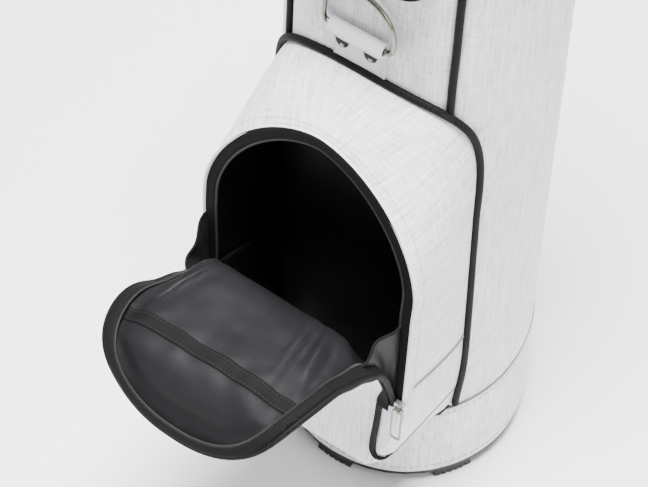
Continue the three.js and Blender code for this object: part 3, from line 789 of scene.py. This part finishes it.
def add_pocket_trim():
    t = np.linspace(0, 1, 190)
    line = seam_path(t, 3.6, POCKET_BOTTOM + 2)
    line[:, 2] += 2.0 * smoothstep(line[:, 2], 430, 515)
    line = line + 0.5 * wobble(line, 40, 7)[:, None] * outward(line)
    piece = tube("pocket_seam_piping", line, 3.1, 14, PIPING, slot="piping")
    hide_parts("pocket_piping")
    a, z = np.meshgrid(np.linspace(-50, 50, 41), np.linspace(POCKET_BOTTOM + 3, 500, 60))
    keep = on_barrel(a, z, 2.9)
    keep = keep + outward(keep) * (0.7 * wobble(keep, 35, 4))[..., None]
    limit = SEAM_TOP - 8 - 100 * smoothstep(np.abs(a), 30, 52)
    keep[..., 2] = np.minimum(keep[..., 2], limit)
    piece = shell("pocket_back_cloth", keep, 0.8, [WEB], slot="lining")
    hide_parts("pocket_back_lining")


def corner_profile(z):
    """How far the front of the pocket lies back at a height, where it turns under."""
    under = np.clip(POCKET_BOTTOM + BEND - z, 0, BEND)
    return -POCKET_FRONT + BEND - np.sqrt(BEND**2 - under**2)


def bend_heights(start):
    """Heights round the bend where the front turns under."""
    return POCKET_BOTTOM + BEND * (1 - np.cos(np.linspace(start, np.pi / 2, 9)))


def add_lower_pocket():
    above = np.linspace(POCKET_BOTTOM + 15, POCKET_SEAM + 1, 22)
    heights = np.concatenate([bend_heights(0), above])
    for side, name in SIDES:
        rows = []
        for z in heights:
            half, y = side_half(z), corner_profile(z)
            back = on_barrel(seam_angle(z, side), z, 1.0)
            wall = np.array([half, y + CORNER, z])
            side_run = [back + (wall - back) * w for w in np.linspace(0, 1, 12)]
            turn = np.linspace(0, math.pi / 2, 9)[1:]
            round_run = [(half - CORNER + CORNER * c, y + CORNER - CORNER * d, z)
                         for c, d in zip(np.cos(turn), np.sin(turn))]
            inner = min(FRONT_HALF + 1.5, half - 12)
            last = [(half - CORNER + (inner - half + CORNER) * w, y, z) for w in (0.5, 1.0)]
            rows.append(side_run + round_run + last)
        grid = np.array(rows)
        grid[..., 0] *= side
        seam_tilt(grid, smoothstep(grid[..., 2], TUCK, POCKET_SEAM))
        if side > 0:
            grid = grid[:, ::-1]
        n = grid_normals(grid)
        level = (heights - heights[0]) / (heights[-1] - heights[0])
        across = np.linspace(0, 1, grid.shape[1])
        bow = np.sin(np.pi * level)[:, None] * np.sin(np.pi * across)
        grid = grid + n * (2.0 * bow + 0.6 * wobble(grid, 40, side * 3.0))[..., None]
        piece = shell(f"pocket_side_{name}", grid, 2.2, [SHELL, WEB])
        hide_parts(f"gusset_base_{name}")
        # A dark cord along the side wall's lower edge is painted shadow in the gap between the
        # pocket's side and the collar.
        row = int(np.searchsorted(heights, TUCK))
        edge = (grid[row] if side < 0 else grid[row][::-1])[:19]
        tube(f"side_edge_shadow_{name}", edge, 0.8, 8, SEAM_SHADOW)

    half = FRONT_HALF - 1.6
    above = np.linspace(POCKET_BOTTOM + 16, FOLD_HEIGHT - 3, 26)
    z_line = np.concatenate([bend_heights(0.12), above])
    x = half * eased(33)
    grid = np.array([[(xx * min(1, (side_half(zz) - 5) / half), corner_profile(zz), zz) for xx in x]
                     for zz in z_line])
    corner = 22.0
    over = np.clip(np.abs(grid[..., 0]) - (half - corner), 0, corner)
    drop = corner - np.sqrt(corner**2 - over**2)
    grid[..., 2] = np.minimum(grid[..., 2], FOLD_HEIGHT - 3 - 0.85 * drop)
    level = np.linspace(0, 1, len(z_line))[:, None]
    bow = np.sin(np.pi * level) * np.cos(np.pi / 2 * np.abs(x) / half)[None]
    grid[..., 1] -= 2.2 * bow + 0.5 * wobble(grid, 38, 9)
    piece = shell("pocket_front_cloth", grid, 2.0, [SHELL, WEB])
    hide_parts("front_base_panel")

    for side, name in SIDES:
        y = -POCKET_FRONT - 1.4
        knots = [(6, -1.5, FOLD_HEIGHT + 1), (3.8, -1.5, FOLD_HEIGHT - 10),
                 (2, 0, FOLD_HEIGHT - 20), (0.8, 0, 200), (-1.2, 0, 170), (-0.3, 0, 158),
                 (3.6, 0.8, 151), (8.6, 4.6, 151.5), (12, 9.5, 158.5)]
        path = spline([(side * (FRONT_HALF + a), y + b, c) for a, b, c in knots], 70)
        piece = tube(f"corner_binding_{name}", path, 2.8, 12, PIPING, slot="piping")
        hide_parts(f"corner_piping_{name}")

    a, b = np.meshgrid(np.linspace(44.6, 47.4, 7), np.linspace(3, 14, 8))
    for side, name in SIDES:
        strip = on_barrel(side * (a + 0.35 * b), COLLAR_TOP - 4 + b, 5.4)
        shell(f"webbing_end_{name}", strip[:, ::side], 2.0, [WEBBING], slot="piping")

    x = np.linspace(-1, 1, 25) * (POCKET_BASE_HALF - 10)
    back = on_barrel(np.degrees(np.arcsin(x / (BASE_RADIUS + 2))), POCKET_BOTTOM + 1, 1.5)[:, 1]
    front = -POCKET_FRONT + 12
    floor = np.array([[(a, front, POCKET_BOTTOM + 1) for a in x],
                      [(a, (b + front) / 2, POCKET_BOTTOM + 0.4) for a, b in zip(x, back)],
                      [(a, b, POCKET_BOTTOM + 1) for a, b in zip(x, back)]])
    piece = shell("pocket_floor_cloth", floor, 2.0, [WEB, SHELL], slot="lining")
    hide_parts("pocket_floor")


# ---- the soft door ------------------------------------------------------------------------

DOOR_OUT = 4.6
FOLD_TURN, RIDGE_TURN, TIP_TURN = 18, 72, 66
RIDGE_AT = RIDGE_HEIGHT - FOLD_HEIGHT
TIP_AT = RIDGE_AT + 97
LOWER_SPLIT = 60
FLAP_SPLIT = 150
RIDGE_SPAN = 17
TIP_LIFT = 1.5
TIP_SPAN = 30
RIBBON_AT = 186
RIBBON_STITCHES = 4.2
DOOR_EDGE = (58, 88)
DOOR_THICK = 3.2
LINING_UP = 1.6


def door_profile():
    """A line from below the door's fold to its tip: lengths, y, z and directions."""
    step = 0.5
    s = np.arange(-14, 290, step)
    lean = FOLD_TURN * smoothstep(s, -12, 12)
    lean = lean + RIDGE_TURN * smoothstep(s, RIDGE_AT - RIDGE_SPAN, RIDGE_AT + RIDGE_SPAN)
    lean = lean + TIP_TURN * smoothstep(s, TIP_AT - TIP_SPAN, TIP_AT + TIP_SPAN)
    lean = np.radians(lean)
    y = -np.concatenate([[0], np.cumsum(np.sin(lean[:-1]) * step)])
    z = np.concatenate([[0], np.cumsum(np.cos(lean[:-1]) * step)])
    zero = np.searchsorted(s, 0)
    y += -POCKET_FRONT - DOOR_OUT + 1.5 - y[zero]
    z += FOLD_HEIGHT - z[zero]
    return s, y, z, lean


DOOR_LINE = door_profile()


def door_lean(x, s):
    """Direction of the door at a point, from upright at 0 to flat at a quarter turn."""
    w = smoothstep(np.abs(x), *DOOR_EDGE)
    turn = (s - RIDGE_AT + 4) / 36
    return np.interp(s, DOOR_LINE[0], DOOR_LINE[3]) + w * 0.35 * turn * np.exp(-turn**2)


def door_point(x, s, up=0.0):
    """A point of the door: across, along from the fold, and above its middle."""
    x, s = np.broadcast_arrays(np.asarray(x, float), np.asarray(s, float))
    left = smoothstep(-x, -20, 60)
    w = smoothstep(np.abs(x), *DOOR_EDGE)
    cut = w * hill(s - RIDGE_AT, 34 + 6 * left)
    y, z = (np.interp(s, DOOR_LINE[0], DOOR_LINE[k]) for k in (1, 2))
    past = smoothstep(s, RIDGE_AT - 10, RIDGE_AT + 40)
    hang = past * (1 - smoothstep(s, TIP_AT - 10, TIP_AT + 50))
    y = y - 12 * cut
    z = z - (18 + 13 * left) * cut - 8 * left * hang * smoothstep(-x, 40, 90)
    z = z + TIP_LIFT * past
    wide = x * (1 + 0.055 * left * hang) - 3 * smoothstep(s, RIDGE_AT, TIP_AT - 20)
    q = door_lean(x, s)
    return np.stack(np.broadcast_arrays(wide, y + up * np.cos(q), z + up * np.sin(q)), -1)


def door_end(x):
    """How far up the door its outline lies at a distance from its middle."""
    w = np.clip(1 - np.abs(x / DOOR["half"])**DOOR["power"], 0, 1)**(1 / DOOR["power"])
    return DOOR["base"] - FOLD_HEIGHT + DOOR["height"] * w


def door_relief(x, s):
    """Height of the lining above its even shape: slack, puckers and folds."""
    edge = np.minimum(DOOR["half"] - np.abs(x), door_end(x) - s)
    past = smoothstep(s, RIDGE_AT, RIDGE_AT + 25)
    flat = np.stack([x, s, 0 * x], -1)
    slack = (1.7 * wobble(flat, 62, 11) + 0.9 * wobble(flat * (1, 2.2, 1), 34, 12)
             + 0.5 * wobble(flat, 15, 14))
    sink = -2.2 * past * hill(edge - 20, 9)
    belly = 2.0 * past * smoothstep(edge, 14, 60)
    ribbon = hill(s - RIBBON_AT, 6)
    gather = hill(s - RIBBON_AT, 16) * 1.2 * np.sin(x / 5.2 + 2.2 * wobble(flat, 30, 13))
    along = s - RIDGE_AT - 30
    reach = hill(along, 30)
    folds = 0
    for side, at, run in ((-1, 56, 1.5), (1, 60, 1.25), (-1, 74, 0.9), (1, 42, 2.1)):
        line = side * x - at - along / run * 0.35
        folds = folds + 2.6 * reach * hill(line, 4.2)
        folds = folds - 2.0 * reach * hill(line - 8, 4.5)
    inner = slack * (0.35 + 0.65 * past) + belly - 2.0 * ribbon + gather + folds
    return smoothstep(edge, 2, 14) * inner + sink * smoothstep(edge, 0, 6)


def door_surface(x, s, up=0.0):
    return door_point(x, s, up + door_relief(x, s))


def door_normals(x, s, up):
    d = 0.6
    across = door_surface(x + d, s, up) - door_surface(x - d, s, up)
    along = door_surface(x, s + d, up) - door_surface(x, s - d, up)
    return unit(np.cross(across, along))


ZONES = (
    ("lower", -10, LOWER_SPLIT, "bag", "door_lower", -12, 14),
    ("flap", LOWER_SPLIT, FLAP_SPLIT, "door_lower", "door_flap", RIDGE_AT - RIDGE_SPAN,
     RIDGE_AT + RIDGE_SPAN),
    ("tip", FLAP_SPLIT, 400, "door_flap", "door_tip", TIP_AT - TIP_SPAN, TIP_AT + TIP_SPAN),
)


def bend(piece, zone):
    start, end = (door_point(0.0, s) * MM for s in zone[5:7])
    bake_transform(piece)


def add_door_cloth():
    inset = 2.5
    reach = DOOR["half"] - inset
    x_line = reach * eased(61)
    w = np.linspace(0, 1, 34)[:, None]
    end = door_end(x_line * DOOR["half"] / reach) - inset * 1.2
    for zone in ZONES:
        name, low, high = zone[:3]
        top = np.minimum(high, end) if name == "tip" else high + 0 * x_line
        s = low + (top - low) * w
        x = np.broadcast_to(x_line, s.shape)
        layers = (-DOOR_THICK / 2, LINING_UP)
        points, faces, which, flat = shell_mesh(*(door_surface(x, s, up) for up in layers))
        spread = np.stack([x, s], -1).reshape(-1, 2)
        piece = make(f"door_cloth_{name}", points, faces, [SHELL, LINING], which, body=None,
                     flat=flat, spread=np.concatenate([spread, spread]))
        normals = [sign * door_normals(x, s, up).reshape(-1, 3)
                   for sign, up in zip((1, -1), layers)]
        piece.data.normals_split_custom_set_from_vertices(np.concatenate(normals).tolist())
        bend(piece, zone)
        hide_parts(f"door_{name}")


def add_door_facing():
    s = np.linspace(-11, 58, 34)
    outer = DOOR["half"] - 1
    inner = FRONT_HALF + 2.5 + 8.5 * smoothstep(s, -6, 34)
    across = np.array([inner + (outer - inner) * w for w in np.linspace(0, 1, 12)]).T
    along = np.broadcast_to(s[:, None], across.shape)
    for side, name in SIDES:
        grid = door_surface(side * across, along, -2.8 - 1.6 * (1 - smoothstep(along, -8, 20)))
        piece = shell(f"door_facing_{name}", grid[:, ::side], 0.8, [TAPE], body=None, slot="tape")
        bend(piece, ZONES[0])


def rim_runs(zone, inset):
    """Paths (x, s) of the door's outline inside a zone, right and left, or one round the tip."""
    name, low, high = zone[:3]
    side = DOOR["half"] - inset
    if name == "tip":
        edge = arch_edge(DOOR, inset, FOLD_HEIGHT - 8, 120, 60) - (0, FOLD_HEIGHT)
        return [np.concatenate([[(side, low)], edge[edge[:, 1] > low], [(-side, low)]])]
    s = np.linspace(max(low, -6), high, 40)
    return [np.stack([0 * s + x, s], -1) for x in (side, -side)]


def add_door_rim():
    levels = [(0.8, 2.8), (3.0, 4.2), (6.0, 4.7), (9.5, 4.4)]
    for zone in ZONES:
        name = zone[0]
        ends = ("",) if name == "tip" else ("_left", "_right")
        bands = [tube_mesh(door_point(*run.T, 0.8), 2.8, 14, capped=False)
                 for run in rim_runs(zone, 0)]
        strips, coils = [], []
        for k, run in enumerate(rim_runs(zone, levels[-1][0])):
            lines = [door_point(*rim_runs(zone, inset)[k].T, up) for inset, up in levels]
            grid = np.array([even(line, 90) for line in lines])
            lip = grid[-1]
            strips.append(thicken(grid[::-1] if k else grid, 1.0)[:2])
            run = even(np.concatenate([run, 0 * run[:, :1]], 1), 90)
            lean = door_lean(run[:, 0], run[:, 1])
            n = np.stack([0 * lean, np.cos(lean), np.sin(lean)], -1)
            coils.append(scatter(lip + n * 0.4, n, 1.8, (2.8, 1.1, 0.9), across=True))
            coils.append(tube_mesh(lip - n * 0.2, 0.8, 6))
        for title, meshes, look, slot, node in (
                (f"door_rim_{name}", bands, PIPING, "piping", "door_piping"),
                (f"door_tape_{name}_cloth", strips, TAPE, "tape", "door_tape"),
                (f"door_teeth_{name}", coils, TEETH, "tape", None)):
            piece = make(title, *together(*meshes), [look], body=None, slot=slot)
            bend(piece, zone)
            if node:
                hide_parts(*(f"{node}_{name}{end}" for end in ends))


def add_door_ribbon():
    x = np.linspace(-81, 79, 96)
    xx, ss = np.meshgrid(x, RIBBON_AT + np.linspace(-6, 6, 7))
    sway = 0.5 * wobble(np.stack([xx, 0 * xx, 0 * xx], -1), 40, 31)
    grid = door_surface(xx, ss + sway, 2.4)
    piece = shell("lining_ribbon", grid[:, ::-1], 0.7, [RIBBON], body=None, slot="lining")
    bend(piece, ZONES[2])
    rows = [scatter(door_surface(x, 0 * x + at, 2.6), (0.0, 0.0, 1.0), 3.4, (2.4, 0.6, 0.4))
            for at in (RIBBON_AT - RIBBON_STITCHES, RIBBON_AT + RIBBON_STITCHES)]
    piece = make("ribbon_stitches", *together(*rows), [DARK_THREAD_AND_SHADE], body=None, slot="lining")
    bend(piece, ZONES[2])


def add_webs():
    """The fan-shaped cloth webs between the legs of the opening and the door."""
    w = np.linspace(0.06, 1, 26)
    v = np.linspace(0, 1, 18)
    for side, name in SIDES:
        # Where the web is sewn to the leg and to the door, how far along it, and how it hangs.
        leg_x, door_x, reach, bag_out, sag = ((88, 80, 1.02, -2.0, 1.0) if side > 0
                                              else (93, 88, 0.86, 6.0, 7))
        h = w * 100
        leg = np.stack([0 * h + side * leg_x, 0 * h - POCKET_FRONT + 3.2, FOLD_HEIGHT + h], -1)
        door = door_point(0 * h + side * door_x, h * reach, 2.0)
        grid = np.array([leg + (door - leg) * share for share in v])
        slack = np.sin(np.pi * v)[:, None] * (h / 100)
        pleat = np.sin(np.pi * 3 * v)[:, None] * (h / 100)
        grid[..., 0] += side * (bag_out * slack + 2.2 * pleat) * (1 + 0.3 * wobble(grid, 30, 41))
        grid[..., 2] -= sag * slack * (h / 100)**2
        piece = shell(f"web_{name}", grid[::side], 0.8, [WEB], slot="lining")
        band = tube(f"web_hem_{name}", grid[:, -1], 1.3, 8, RIBBON, slot="lining")
        for part in (piece, band):
            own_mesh(part)
        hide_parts(f"drop_stop_{name}")


# ---- hardware -----------------------------------------------------------------------------

RING_HEIGHT = 560
RING_HALF = 29.5
RING_Y = -FRONT_DEPTH - 7
WIRE = 0.9
ROUND = {"closed": True, "side": (0, 1, 0), "slot": "nickel"}


def arc(x, z, radius, start, count, sweep=math.pi / 2):
    return [(x + radius * math.cos(q), 0, z + radius * math.sin(q))
            for q in np.linspace(start, start + sweep, count)]


def wire_loop(half, length):
    """A long loop that hangs from its own top."""
    corner = 2.6
    x, low = half - corner, corner - length
    corners = ((x, -corner), (-x, -corner), (-x, low), (x, low))
    path = [p for k, at in enumerate(corners) for p in arc(*at, corner, k * math.pi / 2, 8)]
    return even(np.array(path), 120, closed=True)


def add_puller(node, look, along):
    """A loop of wire as long as the part is along the given axis, from its high end."""
    low, high = (np.array(c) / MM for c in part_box(node))
    across = 2 - along
    loop = wire_loop((high[across] - low[across]) / 2 - WIRE, high[along] - low[along] - 2 * WIRE)
    at = (low + high) / 2
    at[along] = high[along] - WIRE
    loop = loop[:, ::-1] if across == 2 else loop
    piece = tube(f"{node}_wire", loop + at, 0.95, 12, look, body=node, **ROUND)
    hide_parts(node)


def add_ring():
    foot = 5
    path = (arc(0, 14, RING_HALF, 0, 24, math.pi) + arc(foot - RING_HALF, foot, foot, math.pi, 6)
            + arc(RING_HALF - foot, foot, foot, 1.5 * math.pi, 6))
    path = even(np.array(path), 160, closed=True) + (0, RING_Y, RING_HEIGHT)
    piece = tube("d_ring_wire", path, 2.2, 16, GUNMETAL, body="d_ring", **ROUND)
    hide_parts("d_ring")


def add_tab():
    """The rolled tab that holds the ring, its strap, and the cut-outs at the rivets, filled with
    dark sheets of painted shade.
    """
    half, low, roll = 23.3, 522, 6.0
    face = -FRONT_DEPTH - 3.3
    line = [(face, z) for z in np.linspace(low, RING_HEIGHT - 8.5, 16)]
    line += [(RING_Y - roll * math.cos(a), RING_HEIGHT + roll * math.sin(a))
             for a in np.linspace(-2.0, 2.6, 30)]
    grid = np.array([[(x, y, z) for x in half * np.linspace(-1, 1, 45)] for y, z in line])
    grid[..., 0] *= np.where(grid[..., 2] < RING_HEIGHT - 7, 0.955, 1.0)
    grid[..., 1] -= 0.25 * wobble(grid, 18, 51)
    piece = shell("ring_tab_sheet", grid, 1.9, [COATED], slot="leather")
    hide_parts("ring_tab")
    wide, deep, sill = 6.4, 6.6, RING_HEIGHT - 16.2
    u = np.linspace(-1, 1, 15)
    drop = deep * np.sqrt(np.maximum(1 - u * u, 0))
    # Each cut-out is filled with a dark sheet of painted shade where the hole lies under the roll,
    # edged by a pale lip.
    for x_rivet, name in ((-15.0, "left"), (9.5, "right")):
        x = x_rivet + wide * u
        rows = [np.stack([x, 0 * u + face - 0.25, sill - drop * b], -1)
                for b in np.linspace(1, 0, 6)]
        shell(f"tab_slot_{name}", rows, 0.4, [DARK_THREAD_AND_SHADE], slot="leather")
        lip = np.stack([x, 0 * u + face - 0.35, sill - drop], -1)
        tube(f"tab_slot_lip_{name}", lip, 0.55, 8, COATED, slot="leather")
    z = np.linspace(low + 1, RING_HEIGHT - 9, 30)
    for x_line, name in ((-21, "l21"), (21, "r21"), (18.6, "r18")):
        path = np.stack([0 * z + x_line, 0 * z + face - 0.1, z], -1)
        stitched(f"tab_stitches_{name}", path, FORWARD, pitch=3.4, size=(2.4, 0.6, 0.4),
                 slot="leather")


# ---- top of the bag -----------------------------------------------------------------------


def add_cuff():
    def out(a, z):
        ends = np.minimum(z - CUFF_BOTTOM, CUFF_TOP - z)
        return 3.4 - 2.2 * hill(ends, 4) - 0.8 * hill(ends - 7, 1.6)

    levels = np.concatenate([np.linspace(CUFF_BOTTOM, CUFF_BOTTOM + 12, 12),
                             np.linspace(CUFF_BOTTOM + 16, CUFF_TOP - 16, 12),
                             np.linspace(CUFF_TOP - 12, CUFF_TOP, 12)])
    barrel_patch("cuff_cloth", round_angles(160), levels, out, "cuff", closed=True,
                 thickness=3.2, soft=0.3)
    for z, name in ((CUFF_BOTTOM + 7, "low"), (CUFF_TOP - 7, "high")):
        ring = on_barrel(np.linspace(-180, 180, 361), z, 2.7)
        stitched(f"cuff_stitches_{name}", ring, outward(ring), pitch=5, size=(3.6, 0.9, 0.6))


HANDLE_LOW = 716
HANDLE_HIGH = 846
STRAP_LOW = 250
STRAP_HIGH = 690
PAD_LOW = 380
PAD_HIGH = 600


def bowed(low, high, base, rise):
    def stand(z):
        w = np.clip((z - low) / (high - low), 0, 1)
        return base + rise * np.maximum(np.sin(np.pi * w), 0)**0.7
    return stand


def strap_grid(heights, stand, width, thickness, crown=0.0, columns=13):
    x = width / 2 * eased(columns)
    rows = []
    for z in heights:
        y = on_barrel(180, z, 0)[1] + stand(z) + thickness
        rows.append([(-xx, y + crown * (1 - (xx / (width / 2))**2), z) for xx in x])
    return np.array(rows)


def add_carrying():
    lift = bowed(HANDLE_LOW, HANDLE_HIGH, 3, 28)
    along = (1 - np.cos(np.linspace(0, np.pi, 40))) / 2
    grid = strap_grid(HANDLE_LOW + (HANDLE_HIGH - HANDLE_LOW) * along, lift, 30, 4, 0.6)
    piece = shell("lift_handle_sheet", grid, 3.6, [COATED], slot="leather")
    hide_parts("lift_handle")
    n = grid_normals(grid)
    for column, name in ((2, "a"), (-3, "b")):
        path = grid[:, column] + n[:, column] * 0.1
        stitched(f"handle_stitches_{name}", path, n[:, column], pitch=4, slot="leather")
    stand = bowed(STRAP_LOW, STRAP_HIGH, 3, 46)
    for name, low, high in (("lower", STRAP_LOW, PAD_LOW - 0.3),
                            ("upper", PAD_HIGH + 0.3, STRAP_HIGH)):
        grid = strap_grid(np.linspace(low, high, 30), stand, 38, 2.6)
        piece = shell(f"strap_web_{name}_cloth", grid, 2.3, [WEBBING], slot="piping")
        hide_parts(f"strap_web_{name}")
    width = 62
    grid = strap_grid(np.linspace(PAD_LOW, PAD_HIGH, 60), stand, width, 11.5, 0, 25)
    x = grid[..., 0] / (width / 2)
    z = (grid[..., 2] - PAD_LOW) / (PAD_HIGH - PAD_LOW)
    channels = 0.75 + 0.25 * np.abs(np.sin(np.pi * z * 6))**0.5
    edge = np.sqrt(np.clip(1 - x**4, 0, 1))
    edge = edge * np.sqrt(np.clip(np.sin(np.pi * np.clip(z, 0.004, 0.996)), 0, 1))**0.6
    n = grid_normals(grid)
    middle = grid - n * 6
    outer = middle + n * (1.2 + 5.0 * edge * channels)[..., None]
    inner = middle - n * (1.2 + 4.0 * edge)[..., None]
    points, faces, which, flat = shell_mesh(outer, inner)
    pad = make("strap_pad_cloth", points, faces, [SHELL, WEB], which, flat=flat)
    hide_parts("strap_pad")
    rim = np.concatenate([middle[0], middle[1:, -1], middle[-1, -2::-1], middle[-2:0:-1, 0]])
    rim = even(rim, 220, closed=True)
    tube("strap_pad_binding", rim, 2.0, 10, PIPING, closed=True, slot="piping")
    size = np.array([25.0, 17.0])
    q = np.linspace(0, math.tau, 48, endpoint=False)
    turn = np.stack([np.cos(q), np.sin(q)], -1)
    outline = size * np.sign(turn) * np.abs(turn)**0.35
    for name, z in (("lower", STRAP_LOW), ("upper", STRAP_HIGH)):
        y = on_barrel(180, z, 0)[1]
        rings = []
        for inset, out in ((0, 1.4), (0, 3.2), (0.9, 4.0), (2.4, 4.0), (2.9, 3.7), (3.4, 4.0),
                           (25, 4.0)):
            ring = outline * np.maximum(1 - inset / size, 0.02)
            rings.append(np.stack([-ring[:, 0], 0 * q + y + out, z + ring[:, 1]], -1))
        piece = shell(f"strap_anchor_{name}_patch", rings, 0.5, [COATED], closed=True,
                      slot="leather")
        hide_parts(f"strap_anchor_{name}")
        path = np.stack([-outline[:, 0] * 0.86, 0 * q + y + 4.1, z + outline[:, 1] * 0.8], -1)
        stitched(f"anchor_stitches_{name}", np.concatenate([path, path[:1]]), (0.0, 1.0, 0.0),
                 pitch=3.8, slot="leather")


def add_upper_pocket():
    low, high, half, deep, corner = 634.0, 764.0, 56.0, FRONT_DEPTH + 26.0, 16.0
    back = -FRONT_DEPTH - 0.9
    z = np.linspace(low, high, 44)
    w = (z - low) / (high - low)
    face = (deep - 8 * (1 - smoothstep(w, 0, 0.1)) - 10 * smoothstep(w, 0.62, 0.94)
            - 12 * smoothstep(w, 0.9, 1.0))
    wide = half - 4 * (1 - smoothstep(w, 0, 0.08)) - 4 * smoothstep(w, 0.92, 1.0)
    rows = []
    for zz, d, h in zip(z, face, wide):
        left = [(-h, back + (corner - d - back) * t, zz) for t in np.linspace(0, 1, 8)]
        left += [(-h + corner - corner * math.cos(q), -d + corner - corner * math.sin(q), zz)
                 for q in np.linspace(0, math.pi / 2, 9)[1:]]
        front = [(-h + corner + (2 * h - 2 * corner) * t, -d - 1.6 * math.sin(math.pi * t), zz)
                 for t in np.linspace(0, 1, 16)[1:-1]]
        rows.append(left + front + [(-p[0], p[1], p[2]) for p in left[::-1]])
    grid = np.array(rows)
    grid = grid + grid_normals(grid) * (0.7 * wobble(grid, 32, 61))[..., None]
    piece = shell("upper_pocket_cloth", grid, 2.0, [SHELL, WEB])
    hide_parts("upper_pocket")
    for row, name in ((0, "low"), (-1, "high")):
        edge = grid[row]
        inner = edge * (0.985, 1, 1)
        inner[:, 1] = back
        shell(f"upper_pocket_{name}_cloth", [edge, inner] if row else [inner, edge], 1.4, [SHELL])
        tube(f"upper_pocket_piping_{name}", edge + (0, 0, 0.3), 2.2, 10, PIPING, slot="piping")
    levels = high - 52 + np.linspace(-6.5, 6.5, 5)
    xx, zz = np.meshgrid(np.linspace(-half + 15, half - 15, 60), levels)
    grid = np.stack([xx, np.interp(zz, z, -face) - 2.2 - 0.6 * np.cos(xx / half * 1.4), zz], -1)
    piece = shell("upper_zipper_tape", grid, 0.8, [TAPE], slot="tape")
    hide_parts("upper_tape")
    teeth = scatter(grid[2] + (0, -0.5, 0), FORWARD, 1.7, (3.2, 1.0, 0.8), across=True)
    make("upper_zipper_teeth", *teeth, [TEETH], slot="tape")


def add_floor():
    size, count = 20000, 5
    x = np.linspace(-size, size, count)
    points = [(a, b, -0.2) for b in x for a in x]
    faces = [(k, k + 1, k + count + 1, k + count)
             for k in range(count * (count - 1)) if k % count < count - 1]
    floor = make("studio_floor", points, faces, [floor_material()], body=None, slot=None)


add_camera()
add_world()
add_light("key", (0.1, -0.45, 3.3), 1.3, 470)
add_light("fill", (2.6, -0.2, 1.7), 2.0, 40)
add_light("rear", (0.2, 2.4, 2.4), 1.8, 40)
add_floor()
add_base()
add_barrel()
add_gusset()
add_zipper()
add_pocket_trim()
add_lower_pocket()
add_door_cloth()
add_door_facing()
add_door_rim()
add_door_ribbon()
add_webs()
add_puller("puller", GUNMETAL, 2)
add_puller("upper_puller", NICKEL, 0)
add_ring()
add_tab()
add_cuff()
add_carrying()
add_upper_pocket()
